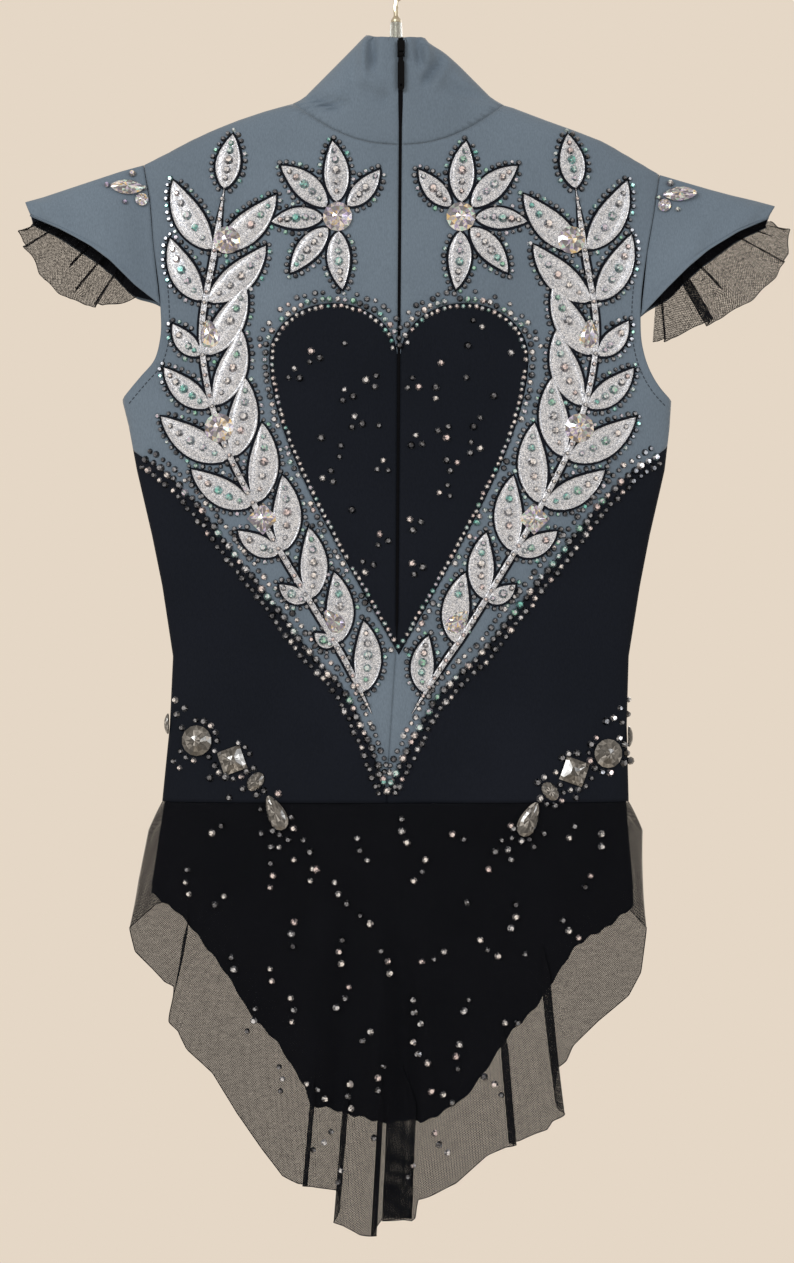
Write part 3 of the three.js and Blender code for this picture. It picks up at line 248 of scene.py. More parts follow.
def beside(path, offset):
    """A path moved sideways: above 0 is to the left of its direction."""
    slope = unit(np.gradient(path, axis=0))
    return path + np.stack([-slope[:, 1], slope[:, 0]], 1) * offset


def distance_to(paths, across, height):
    """The distance of each point from the nearest of some polylines."""
    points = np.stack([np.ravel(across), np.ravel(height)], axis=1)
    best = np.full(len(points), 1e9)
    for path in paths:
        for a, b in zip(path[:-1], path[1:]):
            direction = b - a
            size = max(float(direction @ direction), 1e-9)
            t = np.clip(((points - a) @ direction) / size, 0, 1)
            best = np.minimum(best, np.hypot(*(points - a - t[:, None] * direction).T))
    return best.reshape(np.shape(across))

# ---------------------------------------------------------------- meshes


def make_object(name, points, faces, look, smooth_faces=True):
    """A mesh object from points in millimetres."""
    mesh = bpy.data.meshes.new(name)
    mesh.from_pydata((np.asarray(points, float) * MM).tolist(), [], [list(f) for f in faces])
    mesh.validate()
    mesh.polygons.foreach_set("use_smooth", [smooth_faces] * len(mesh.polygons))
    mesh.update()
    mesh.materials.append(look)
    made = bpy.data.objects.new(name, mesh)
    bpy.context.scene.collection.objects.link(made)
    return made


def piece(name, points, faces, look, slot, smooth_faces=True, stands_for=None):
    """An object that rides on the dress. slot, the material slot it would take its finish from, is
    not used.
    """
    made = make_object(name, points, faces, look, smooth_faces)
    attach(made, BODY)
    if stands_for:
        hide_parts(stands_for)
    return made


def join(parts):
    """Several lists of points and faces as one."""
    shift, points, faces = 0, [], []
    for part_points, part_faces in parts:
        points.append(part_points)
        faces += [[index + shift for index in face] for face in part_faces]
        shift += len(part_points)
    return np.concatenate(points), faces


def add_uv(made, places):
    """Flat cloth places in millimetres, one per vertex, kept as the mesh's UV map."""
    layer = made.data.uv_layers.new(name="cloth")
    corners = np.zeros(len(made.data.loops), np.int32)
    made.data.loops.foreach_get("vertex_index", corners)
    layer.data.foreach_set("uv", np.asarray(places, np.float32)[corners].ravel())


def vertex_normals(points, triangles):
    a, b, c = (points[triangles[:, i]] for i in range(3))
    total = np.zeros_like(points)
    for i in range(3):
        np.add.at(total, triangles[:, i], np.cross(b - a, c - a))
    return unit(total)


def edges_of(face):
    return zip(face, face[1:] + face[:1])


def thicken(points, triangles, thickness):
    """A closed wall of cloth: the outer surface, an inner one and the cut edge between them."""
    inner = points - vertex_normals(points, triangles) * thickness
    edges = dict.fromkeys(edge for face in triangles.tolist() for edge in edges_of(face))
    count = len(points)
    faces = triangles.tolist() + (triangles[:, ::-1] + count).tolist()
    faces += [[b, a, a + count, b + count] for a, b in edges if (b, a) not in edges]
    return np.concatenate([points, inner]), faces


def grid_triangles(rows, columns, outward=True):
    """Triangles of a grid of points that is stored row by row."""
    corner = (np.arange(rows - 1)[:, None] * columns + np.arange(columns - 1)[None]).ravel()
    a, b, c, d = corner, corner + 1, corner + columns + 1, corner + columns
    triangles = np.concatenate([np.stack([a, b, c], 1), np.stack([a, c, d], 1)])
    return triangles[:, ::-1] if outward else triangles

# ---------------------------------------------------------------- creases

# Each crease runs from one place to another on the cloth. height is how far it stands out, and
# less than 0 is a valley. width is how wide it is across, from its middle.
BACK_CREASES = [
    # across, height to across, height, width, stands out
    ((-21, -60), (-20, -86), 3.2, 4.6),
    ((-15, -60), (-15, -84), 2.8, -4.6),
    ((-24, -88), (-8, -99), 5, 3.4),
    ((-20, -95), (-4, -105), 4, -2.6),
    ((19, -62), (20, -80), 3.0, 4.6),
    ((13, -62), (15, -82), 2.8, -3.6),
    ((30, -76), (17, -93), 3.0, -5.2),
    ((35, -74), (24, -95), 3.8, 4.0),
    ((-57, -99), (-36, -109), 2.4, -5.4),
    ((-54, -93), (-32, -102), 3.6, 4.6),
    ((36, -88), (58, -98), 4.0, 3.2),
    ((32, -96), (56, -103), 3.4, -2.8),
    ((30, -104), (58, -106), 6, 1.6),
    ((-40, -84), (-30, -96), 5, 2.6),
    ((-120, -128), (-70, -120), 9, 1.1),
    ((118, -130), (72, -122), 9, 1.1),
    ((-150, -176), (-118, -214), 10, 1.0),
    ((154, -182), (124, -214), 10, 1.0),
    ((-145, -235), (-122, -262), 8, 1.1),
    ((150, -240), (128, -266), 8, 1.1),
    ((-158, -292), (-112, -330), 11, 1.2),
    ((160, -294), (118, -332), 11, 1.2),
    ((-136, -400), (-86, -412), 14, 0.9),
    ((140, -404), (92, -418), 14, 0.9),
    ((-132, -446), (-78, -470), 13, 1.1),
    ((138, -450), (84, -474), 13, 1.1),
    ((-60, -500), (-40, -470), 12, 0.8),
    ((56, -506), (40, -474), 12, 0.8),
    ((-12, -300), (-14, -420), 10, 0.7),
    ((16, -296), (14, -416), 10, 0.7),
    ((-124, -520), (-90, -494), 12, -0.8),
    ((124, -522), (92, -496), 12, -0.8),
]
FRONT_CREASES = [
    ((-30, -74), (-16, -104), 6, 1.4),
    ((28, -74), (18, -106), 6, 1.4),
    ((-116, -130), (-64, -124), 9, 1.1),
    ((116, -132), (66, -126), 9, 1.1),
    ((-140, -240), (-104, -286), 12, 1.4),
    ((144, -244), (106, -288), 12, 1.4),
    ((-90, -200), (-60, -320), 16, 1.0),
    ((88, -204), (62, -318), 16, 1.0),
    ((-136, -420), (-70, -440), 14, 1.2),
    ((138, -424), (72, -444), 14, 1.2),
    ((-128, -470), (-60, -500), 14, 1.0),
    ((130, -474), (64, -500), 14, 1.0),
    ((0, -300), (0, -400), 14, 0.9),
]


def crease_push(creases, across, height):
    push = np.zeros(np.broadcast(across, height).shape)
    for (x0, z0), (x1, z1), width, stands in creases:
        dx, dz = x1 - x0, z1 - z0
        size = math.hypot(dx, dz)
        run = ((across - x0) * dx + (height - z0) * dz) / size
        side = ((across - x0) * dz - (height - z0) * dx) / size
        ends = smooth(run, -0.25 * size, 0.3 * size) * (1 - smooth(run, 0.7 * size, 1.25 * size))
        push = push + stands * ends * np.exp(-((side / width) ** 2))
    return push


def slack(across, height, side):
    """The slow unevenness of a limp cloth wall, in millimetres."""
    phase = 0.0 if side == "back" else 1.9
    return (
        0.35 * np.sin(across / 23 + height / 61 + phase)
        + 0.3 * np.sin(across / 37 - height / 33 + 2 * phase)
        + 0.2 * np.sin(across / 14 + height / 19 + 0.7 + phase)
    )

# ---------------------------------------------------------------- the body's surface


def section_at(height, sections=None):
    return read(sections or BODY_SECTIONS, height)


def body_y(across, height, side, seams=None, sections=None):
    """How far back or forward the cloth lies at a place."""
    left, right, depth = section_at(height, sections)
    round_off = lens(across, left, right)
    push = 0
    if sections is None:
        push = crease_push(BACK_CREASES if side == "back" else FRONT_CREASES, across, height)
        push = push + slack(across, height, side)
    if seams is not None:
        push = push - 0.75 * np.exp(-((distance_to(seams, across, height) / 1.4) ** 2))
    out = depth * round_off + push * round_off**2
    return -out if side == "back" else out


TURN_STEPS = 400
_angles = np.linspace(0, math.pi, TURN_STEPS + 1)
_share = -np.sign(np.cos(_angles)) * np.abs(np.cos(_angles)) ** (2 / LENS_POWER)
_out = np.sin(_angles) ** (2 / LENS_POWER)
HALF_WIDTH, HALF_DEPTH = 160.0, 16.5
_reach = np.concatenate(
    [[0], np.cumsum(np.hypot(np.diff(_share) * HALF_WIDTH, np.diff(_out) * HALF_DEPTH))]
)


def unroll(across, height, sections=None):
    """Where a place lies along the wall's girth, in millimetres from the left fold."""
    left, right, _ = section_at(height, sections)
    share = (across - (left + right) / 2) / ((right - left) / 2)
    return np.interp(np.clip(share, -1, 1), _share, _reach)


def roll(girth, height, sections=None):
    left, right, _ = section_at(height, sections)
    share = np.interp(girth, _reach, _share)
    return (left + right) / 2 + share * (right - left) / 2


def centre_back(height):
    return read([row[:2] for row in CENTRE_BACK], height)[0]


def zip_edge(sign):
    rows = [row for row in CENTRE_BACK if row[0] >= ZIP_END]
    return [(row[1] + sign * row[2], row[0]) for row in rows]


def collar_seam(start, end, drop):
    across = np.linspace(start, end, 24)
    share = np.abs(across - COLLAR_SEAM["centre"]) / COLLAR_SEAM["reach"]
    height = COLLAR_SEAM["side"] - drop * (1 - share ** COLLAR_SEAM["power"])
    return list(zip(across, height))


def v_seam(table, sign):
    return [(float(centre_back(height)) + sign * half, height) for height, half in table]


def heart_edge(sign):
    middle = (HEART["cleft"] + HEART["widest"]) / 2
    lobe_half = (HEART["widest"] - HEART["cleft"]) / 2
    rise = HEART["top"] - HEART["shoulder"]
    turn = np.linspace(math.pi, 0, 36)
    lobe = np.stack(
        [middle + lobe_half * np.cos(turn), HEART["shoulder"] + rise * np.sin(turn)], 1
    )
    t = np.linspace(0, 1, 50)[1:, None]
    corners = [(HEART["widest"], HEART["shoulder"]), *HEART_FLANK, (0, HEART["point"])]
    a, b, c, d = (np.array(p, float) for p in corners)
    flank = (1 - t) ** 3 * a + 3 * (1 - t) ** 2 * t * b + 3 * (1 - t) * t**2 * c + t**3 * d
    cleft = np.array([[0.3, HEART["shoulder"]]])
    path = np.concatenate([cleft, lobe, flank])
    path[:, 0] = HEART["centre"] + sign * path[:, 0]
    return path


def seams_of(side):
    """Every seam line of one side, as smooth paths of across and height."""
    if side == "back":
        line = float(centre_back(ZIP_END))
        return {
            "zip_left": np.array(zip_edge(-1)),
            "zip_right": np.array(zip_edge(1)),
            "centre": np.array([(line, ZIP_END), (float(centre_back(-528)), -528), (-5.6, -545)]),
            "collar_left": np.array(collar_seam(-68, float(centre_back(-130)) - 0.3, 27)),
            "collar_right": np.array(collar_seam(float(centre_back(-130)) + 0.3, 72, 27)),
            "v_left": rounded(v_seam(BACK_V_SEAM, -1)),
            "v_right": rounded(v_seam(BACK_V_SEAM, 1)),
            "heart_left": heart_edge(-1),
            "heart_right": heart_edge(1),
        }
    return {
        "collar": np.array(collar_seam(-68, 72, 34)),
        "v_left": rounded(v_seam(FRONT_V_SEAM, -1)),
        "v_right": rounded(v_seam(FRONT_V_SEAM, 1)),
    }


SEAMS = {side: seams_of(side) for side in ("back", "front")}
ARMHOLE_EDGES = {side: rounded(rows) for side, rows in ARMHOLES.items()}


def cut_sheet(side, lines, seeds, seams=None, sections=None, low=HIP_SEAM):
    """Cuts one side's wall along lines and returns, for each seed, its points and triangles.

    The wall is laid flat as girth and height, filled with an even net of points, and split
    along every line. A piece is what can be reached from its seed without crossing a line.
    """
    top, girth = (sections or BODY_SECTIONS)[0][0], _reach[-1]
    heights = np.linspace(top, low, int((top - low) / STEP) + 1)
    rows = []
    for i, height in enumerate(heights):
        places = np.linspace(0, girth, int(girth / STEP) + 1)
        if i % 2:
            places = np.concatenate([[0], (places[:-1] + places[1:]) / 2, [girth]])
        rows.append(np.stack([places, np.full(len(places), height)], 1))
    flat_paths = []
    for path in lines:
        path = curve_points(path, STEP)
        flat_paths.append(np.stack([unroll(*path.T, sections), path[:, 1]], 1))
    near_lines = [beside(path, offset) for path in flat_paths for offset in (-1.3, 1.3)]
    for ends in ([(0, top), (girth, top)], [(girth, low), (0, low)]):
        flat_paths.append(curve_points(ends, STEP))
    for place in (0, girth):
        flat_paths.append(np.stack([np.full(len(heights), place), heights], 1))

    def kept(places, clear):
        """The places that lie inside the border and clear of every line."""
        places = np.concatenate(places)
        x, z = places.T
        places = places[(x > 0.5) & (x < girth - 0.5) & (z > low + 0.5) & (z < top - 0.5)]
        return places[distance_to(flat_paths, *places.T) > clear]

    net = np.concatenate([kept(rows, 0.55 * STEP), kept(near_lines, 1.0)])
    points, edges = list(map(Vector, net.tolist())), []
    for path in flat_paths:
        first = len(points)
        points += list(map(Vector, path.tolist()))
        edges += [(first + i, first + i + 1) for i in range(len(path) - 1)]
    verts, out_edges, faces, _, from_edges, _ = delaunay_2d_cdt(points, edges, [], 0, 1e-4, True)
    verts = np.array([tuple(v) for v in verts])
    walls = {tuple(sorted(e)) for e, origin in zip(out_edges, from_edges) if len(origin)}
    faces = [list(f) for f in faces if len(f) == 3]
    owners = {}
    for index, face in enumerate(faces):
        for edge in edges_of(face):
            owners.setdefault(tuple(sorted(edge)), []).append(index)
    across = roll(*verts.T, sections)
    middles = verts[np.array(faces)].mean(1)
    pieces = {}
    for name, (x, z) in seeds.items():
        away = middles - (float(unroll(x, z, sections)), z)
        stack, chosen = [int(np.argmin(np.hypot(*away.T)))], set()
        while stack:
            index = stack.pop()
            if index not in chosen:
                chosen.add(index)
                for edge in edges_of(faces[index]):
                    key = tuple(sorted(edge))
                    stack += [] if key in walls else owners[key]
        used, index = np.unique([faces[i] for i in sorted(chosen)], return_inverse=True)
        triangles, flat = index.reshape(-1, 3), verts[used]
        a, b, c = (flat[triangles[:, i]] for i in range(3))
        turned = (np.cross(b - a, c - a) < 0) == (side == "back")
        triangles = np.where(turned[:, None], triangles[:, ::-1], triangles)
        y = body_y(across[used], flat[:, 1], side, seams, sections)
        pieces[name] = (np.stack([across[used], y, flat[:, 1]], 1), triangles, flat)
    return pieces


def weld(parts):
    """Joins pieces that share a border into one list of points and triangles."""
    points, triangles = join([part[:2] for part in parts])
    flats = np.concatenate([part[2] for part in parts])
    keys = np.round(points * 50).astype(np.int64)
    _, first, index = np.unique(keys, axis=0, return_index=True, return_inverse=True)
    triangles = np.ravel(index)[np.array(triangles)]
    good = (triangles != np.roll(triangles, 1, axis=1)).all(1)
    return points[first], triangles[good], flats[first]

# ---------------------------------------------------------------- sleeves, frills and skirts


def sleeve_point(side, share, turn):
    """share runs from the armhole to the tip; turn from the back hem (0) over the top to 1."""
    top_x, top_z, hem_x, hem_z, depth = along(SLEEVES[side], share)
    angle = math.pi * turn
    down = 1 - np.sin(angle)
    front = np.cos(angle) < 0
    edge_x, edge_z = along(ARMHOLES[side][:SLEEVE_SEAM_ROWS], down)
    foot = SLEEVES[side][0]
    pull = (1 - share) ** 2
    across = lerp(top_x, hem_x, down)
    height = lerp(top_z, hem_z, down)
    across = across + pull * (
        edge_x + math.copysign(SEAM_GAP, foot[0]) - lerp(foot[0], foot[2], down)
    )
    height = height + pull * (edge_z - lerp(foot[1], foot[3], down))
    swell = smooth(share, 0, 0.35)
    left, right, body_depth = section_at(edge_z)
    at_body = body_depth * lens(edge_x, left, right)
    out = lerp(at_body, depth * np.abs(np.cos(angle)), swell)
    drop = FRONT_HEM_DROP * down**2 * smooth(share, 0, 0.3) * (1 - 0.5 * share)
    height = height - np.where(front, drop, 0)
    return np.stack([across, np.where(front, out, -out), height], -1)


SLEEVE_ALONG, SLEEVE_ROUND = 90, 190


def sleeve_wave(share, turn):
    """Soft pulls that run from the shoulder seam towards the turned hem."""
    down = 1 - np.sin(math.pi * turn)
    wave = 0.9 * np.sin(9 * share + 3 * turn) + 0.6 * np.sin(17 * share - 5 * turn + 1)
    calm = smooth(share, 0.08, 0.4) * (1 - smooth(share, 0.85, 1)) * smooth(down, 0, 0.3)
    from_hem = np.minimum(turn, 1 - turn) * SLEEVE_ROUND
    hem = 0.45 * np.exp(-(((from_hem - 1.4) / 1.3) ** 2))
    return wave * calm + hem - 0.5 * np.exp(-(((from_hem - 4.2) / 1.1) ** 2))


def sleeve_mesh(side, first, last, rows, columns, inset=0.0):
    share = np.linspace(0, 1, columns)[None, :]
    if side == "left":
        share = share[:, ::-1]
    even = np.linspace(0, 1, rows)[:, None]
    turn = lerp(first, last, 0.35 * even + 0.65 * (1 - np.cos(math.pi * even)) / 2)
    share, turn = np.broadcast_arrays(share, turn)
    points = sleeve_point(side, share, turn).reshape(-1, 3)
    triangles = grid_triangles(rows, columns)
    normals = vertex_normals(points, triangles)
    if (normals[:, 1] * points[:, 1]).sum() < 0:
        triangles = triangles[:, ::-1]
        normals = -normals
    push = sleeve_wave(share, turn).reshape(-1, 1) - inset
    flat = np.stack([share * SLEEVE_ALONG, turn * SLEEVE_ROUND], -1).reshape(-1, 2)
    return points + normals * push, triangles, flat


def fold_reach(width):
    """How far to each side of its line a fold takes up net."""
    return max(0.62 * width, 5)


def tuck(run, down, folds):
    """How net that is folded flat onto itself shifts along its run, stands out and uses length.

    run is the distance along the net in millimetres and folds are rows of share, width, and the
    shares of the net's depth at which a fold starts and ends. Along each fold the net runs past
    the fold's line, back over itself, and on again, so that three layers lie together.
    """
    shift, out, extra = (np.zeros_like(run) for _ in range(3))
    columns = run.shape[1]
    for share, width, start, end in folds:
        middle = run[:, int(round(share * (columns - 1)))][:, None]
        reach = fold_reach(width)
        t = np.clip((run - middle + reach) / (2 * reach), 0, 1)
        forward = lerp(-reach, width / 2, smooth(t, 0, 0.4))
        back = lerp(forward, -width / 2, smooth(t, 0.4, 0.6))
        on = lerp(back, reach, smooth(t, 0.6, 1))
        grow = smooth(down, start, start + 0.14) * (1 - smooth(down, end, end + 0.14))
        plain = (2 * t - 1) * reach
        moved = (on - plain) * grow
        used = np.abs(np.diff(plain + moved, axis=1, prepend=-reach)).cumsum(1)
        extra = extra + (used - 2 * t * reach) * (t < 1)
        shift = shift + moved
        lean = smooth(t, 0, 0.4) - 2 * smooth(t, 0.4, 0.6) + smooth(t, 0.6, 1)
        out = out + lean * grow
    return shift, out, extra


def tube(path, radius, sides=6):
    """A thin closed cord along a path of points."""
    ahead = unit(np.gradient(path, axis=0))
    side = unit(np.cross(ahead, (0, 1, 0)))
    up = np.cross(side, ahead)
    turn = 2 * math.pi * np.arange(sides) / sides
    ring = side[:, None] * np.cos(turn)[:, None] + up[:, None] * np.sin(turn)[:, None]
    points = (path[:, None] + radius * ring).reshape(-1, 3)
    start = np.arange(len(path) - 1)[:, None] * sides
    here, after = np.arange(sides), (np.arange(sides) + 1) % sides
    around = [start + here, start + after, start + after + sides, start + here + sides]
    faces = np.stack(around, -1).reshape(-1, 4).tolist()
    last = (len(path) - 1) * sides
    return points, faces + [here[::-1].tolist(), (here + last).tolist()]


# share along the frill, width, and how far down the fold starts and ends
FRILL_FOLDS = {
    "left": [(0.25, 1.6, 0.0, 1.2), (0.54, 1.8, 0.1, 0.55), (0.66, 2.2, 0.0, 0.8),
             (0.8, 2.0, 0.2, 1.2)],
    "right": [(0.22, 1.6, 0.1, 0.6), (0.35, 2.0, 0.0, 1.2), (0.67, 2.2, 0.0, 0.6),
              (0.8, 7.0, 0.1, 1.2), (0.96, 2.6, 0.0, 1.2)],
}


def frill_mesh(side, rows, columns):
    share = np.linspace(0, 1, columns)[None, :]
    down = np.linspace(0, 1, rows)[:, None]
    share, down = np.broadcast_arrays(share, down)
    top_x, top_z, low_x, low_z = along(FRILLS[side], share)
    calm = smooth(np.minimum(share, 1 - share), 0, 0.15)
    size = calm * lerp(1, 4, down)
    wave = np.sin(2 * math.pi * FRILL_WAVES * share)
    gather = 0.25 * np.sin(2 * math.pi * 31 * share + 2 * np.sin(9 * share)) * (1 - down)
    across = lerp(top_x, low_x, down)
    height = lerp(top_z, low_z, down) + 1.2 * down * np.sin(2 * math.pi * FRILL_WAVES * share + 1)
    run = np.hypot(np.gradient(across, axis=1), np.gradient(height, axis=1)).cumsum(1)
    shift, out, extra = tuck(run, down, FRILL_FOLDS[side])
    slant = np.array([FRILLS[side][-1][i] - FRILLS[side][0][i] for i in (0, 1)], float)
    slant /= np.linalg.norm(slant)
    across, height = across + shift * slant[0], height + shift * slant[1]
    points = np.stack([across, size * (wave + gather) - 0.8 * out, height], -1).reshape(-1, 3)
    flat = np.stack([share * 230 + extra, down * 34], -1).reshape(-1, 2)
    return points, grid_triangles(rows, columns), flat


def fold_push(folds, across, height):
    down = smooth(FOLD_START - height, 0, FOLD_START - FOLD_FULL)
    run = np.clip((FOLD_START - height) / (FOLD_START - FOLD_FULL), 0, 1.4)
    push = 0
    for top, hem, stands, width in folds:
        push = push + stands * np.exp(-(((across - lerp(top, hem, run)) / width) ** 2))
    return push * down


SKIRTS = {
    "net_skirt_back": (NET_BACK_HEM, NET_SIDES, BACK_FOLDS, False, False),
    "net_skirt_front": (NET_FRONT_HEM, NET_SIDES, FRONT_FOLDS, False, True),
    "underskirt_back": (OPAQUE_BACK_HEM, OPAQUE_SIDES, BACK_FOLDS, True, False),
    "underskirt_front": (OPAQUE_FRONT_HEM, OPAQUE_SIDES, FRONT_FOLDS, True, True),
}


def skirt_depth(name, across, height):
    _, sides, folds, under, _ = SKIRTS[name]
    left, right = read(sides, height)
    net_left, net_right = read(NET_SIDES, height)
    fade = lens(across, net_left, net_right) ** 2
    step = lerp(LAYER_STEP, LAYER_STEP_LOW, smooth(HIP_SEAM - height, 0, 30)) if under else 0
    depth = (NET_DEPTH - step) * lens(across, left, right)
    return depth + fold_push(folds, across, height) * fade + SEAM_GAP / 2


# share of the hip seam, width, and how far down the fold starts and ends
NET_FOLDS = [
    (0.112, 3.4, 0.52, 1.2), (0.375, 3.2, 0.66, 1.2), (0.443, 4.4, 0.62, 1.2),
    (0.506, 3.4, 0.6, 1.2), (0.5415, 19, 0.6, 1.2), (0.7, 5, 0.6, 1.2), (0.79, 6, 0.42, 1.2),
]
NET_HEM_SPAN = 320


def skirt_shares(columns, folds):
    """Shares along the hip seam, closer together at the sides and at each fold."""
    even = np.linspace(0, 1, columns)
    shares = [(even + (1 - np.cos(math.pi * even)) / 2) / 2]
    for share, width, _, _ in folds:
        reach = fold_reach(width) * 1.2 / NET_HEM_SPAN
        shares.append(np.linspace(share - reach, share + reach, columns // 9))
    shares = np.sort(np.concatenate(shares))
    return shares[np.concatenate([[True], np.diff(shares) > 1e-4])]


def skirt_mesh(name, rows, columns, inset=0.0, folds=()):
    hem, sides, _, _, front = SKIRTS[name]
    share = skirt_shares(columns, folds)[None, :]
    columns = share.shape[1]
    down = np.linspace(0, 1, rows)[:, None]
    share, down = np.broadcast_arrays(share, down)
    hem_x, hem_z = read(hem, share)
    if name == "underskirt_back":
        hem_z = hem_z + 0.8 * np.sin(190 * share) + 0.7 * np.sin(71 * share + 1)
    top = sides[0]
    height = lerp(top[0], hem_z, down)
    left, right = read(sides, height)
    straight = lerp(lerp(top[1], top[2], share), hem_x, down)
    across = straight + (lerp(left, right, share) - straight) * (1 - down) * np.abs(2 * share - 1)
    depth = skirt_depth(name, across, height) - inset
    extra = 0
    if folds:
        places = [(float(np.interp(row[0], share[0], np.linspace(0, 1, columns))), *row[1:])
                  for row in folds]
        shift, out, extra = tuck(across, down + np.zeros_like(across), places)
        across = across + shift
        depth = skirt_depth(name, across, height) - inset + out
    points = np.stack([across, depth if front else -depth, height], -1).reshape(-1, 3)
    triangles = grid_triangles(rows, columns, outward=not front)
    normals = vertex_normals(points, triangles)
    if normals[:, 1].sum() * (1 if front else -1) < 0:
        triangles = triangles[:, ::-1]
    run = lerp(top[1], top[2], share) * (1 + 0.45 * down) + extra
    flat = np.stack([run, height], -1).reshape(-1, 2)
    return points, triangles, flat


def back_point(across, height):
    """A place on the outside of the dress's back, on the body or on the skirt's net."""
    across, height = np.broadcast_arrays(np.asarray(across, float), np.asarray(height, float))
    on_body = body_y(across, height, "back")
    on_skirt = -skirt_depth("net_skirt_back", across, height)
    y = np.where(height >= HIP_SEAM, on_body, on_skirt)
    return np.stack([across, y, height], -1)


def back_frame(across, height, step=1.2):
    """The place, and the cloth's own across, up and outward directions there."""
    place = back_point(across, height)
    side = back_point(across + step, height) - back_point(across - step, height)
    rise = back_point(across, height + step) - back_point(across, height - step)
    side = unit(side)
    out = unit(np.cross(side, rise))
    return place, side, np.cross(out, side), out

# ---------------------------------------------------------------- materials


def linear(red, green, blue):
    values = []
    for value in (red, green, blue):
        value /= 255
        values.append(value / 12.92 if value <= 0.04045 else ((value + 0.055) / 1.055) ** 2.4)
    return (*values, 1.0)


def shaded(colour, times):
    return tuple(c * times for c in colour[:3]) + (1,)


class Look:
    """A node material that is built up step by step."""

    def __init__(self, name):
        self.material = bpy.data.materials.new(name)
        self.material.use_nodes = True
        self.tree = self.material.node_tree
        self.shader = self.tree.nodes["Principled BSDF"]
        self.place = self.tree.nodes.new("ShaderNodeTexCoord")

    def node(self, kind, **settings):
        made = self.tree.nodes.new(kind)
        for name, value in settings.items():
            setattr(made, name, value)
        return made

    def link(self, start, end):
        self.tree.links.new(start, end)

    def give(self, socket, value):
        """Sets a socket to a number or a colour, or links another node's output to it."""
        if isinstance(value, (int, float, tuple)):
            socket.default_value = value
        else:
            self.link(value, socket)

    def set(self, **sockets):
        for name, value in sockets.items():
            self.give(self.shader.inputs[name.replace("_", " ")], value)

    def noise(self, scale, detail=2.0, stretch=None):
        made = self.node("ShaderNodeTexNoise")
        made.inputs["Scale"].default_value = scale
        made.inputs["Detail"].default_value = detail
        source = self.place.outputs["Object"]
        if stretch:
            mapping = self.node("ShaderNodeMapping")
            mapping.inputs["Scale"].default_value = stretch
            self.link(source, mapping.inputs["Vector"])
            source = mapping.outputs["Vector"]
        self.link(source, made.inputs["Vector"])
        return made.outputs["Fac"]

    def math(self, operation, a, b=0.0):
        made = self.node("ShaderNodeMath", operation=operation)
        self.give(made.inputs[0], a)
        self.give(made.inputs[1], b)
        return made.outputs[0]

    def blend(self, share, low, high):
        made = self.node("ShaderNodeMix", data_type="RGBA")
        for index, value in ((0, share), (6, low), (7, high)):
            self.give(made.inputs[index], value)
        return made.outputs[2]

    def spread(self, value, low=0.3, high=0.7, to_low=0, to_high=1):
        made = self.node("ShaderNodeMapRange")
        for socket, number in zip(list(made.inputs)[1:5], (low, high, to_low, to_high)):
            socket.default_value = number
        self.link(value, made.inputs["Value"])
        return made.outputs[0]

    def bump(self, value, strength, distance):
        made = self.node("ShaderNodeBump")
        made.inputs["Strength"].default_value = strength
        made.inputs["Distance"].default_value = distance
        self.link(value, made.inputs["Height"])
        self.link(made.outputs["Normal"], self.shader.inputs["Normal"])


def lycra(name, dark, light, sheen, shine):
    """A matt stretch knit: fine ribs, a little colour drift and a soft sheen."""
    look = Look(name)
    ribs = look.noise(1500, stretch=(1, 1, 0.35))
    hue = look.node("ShaderNodeHueSaturation")
    drift = look.spread(look.noise(9, 3))
    look.link(look.blend(drift, linear(*dark), linear(*light)), hue.inputs["Color"])
    look.link(look.spread(ribs, to_low=0.9, to_high=1.08), hue.inputs["Value"])
    look.set(Base_Color=hue.outputs["Color"], Roughness=look.spread(ribs, 0.2, 0.8, 0.72, 0.58),
             Sheen_Weight=sheen, Sheen_Roughness=0.45, Specular_IOR_Level=shine)
    look.bump(ribs, 0.35, 0.00012)
    return look.material


def netting(name, colour, pitch, cover, grain, size, stretch):
    """Fine net: three sets of thin threads over clear holes, laid out on the flat cloth.

    grain is how unevenly the holes close, in patches of about size, in millimetres.
    """
    look, colour = Look(name), linear(*colour)
    split = look.node("ShaderNodeSeparateXYZ")
    look.link(look.place.outputs["UV"], split.inputs[0])
    threads = None
    for degrees in (0, 60, 120):
        turn = math.radians(degrees)
        u = look.math("MULTIPLY", split.outputs[0], math.cos(turn) * math.pi / pitch)
        v = look.math("MULTIPLY", split.outputs[1], math.sin(turn) * math.pi / pitch)
        wave = look.math("ABSOLUTE", look.math("SINE", look.math("ADD", u, v)))
        threads = look.math("MINIMUM", threads, wave) if threads else wave
    uneven = look.spread(look.noise(1000 / size, 1, stretch), to_low=-grain, to_high=grain)
    alpha = look.spread(look.math("ADD", threads, uneven), cover - 0.1, cover + 0.1, 1, 0)
    tint = look.blend(look.spread(look.noise(30)), colour, shaded(colour, 1.2))
    look.set(Alpha=alpha, Base_Color=tint, Roughness=0.8, Specular_IOR_Level=0.05)
    return look.material


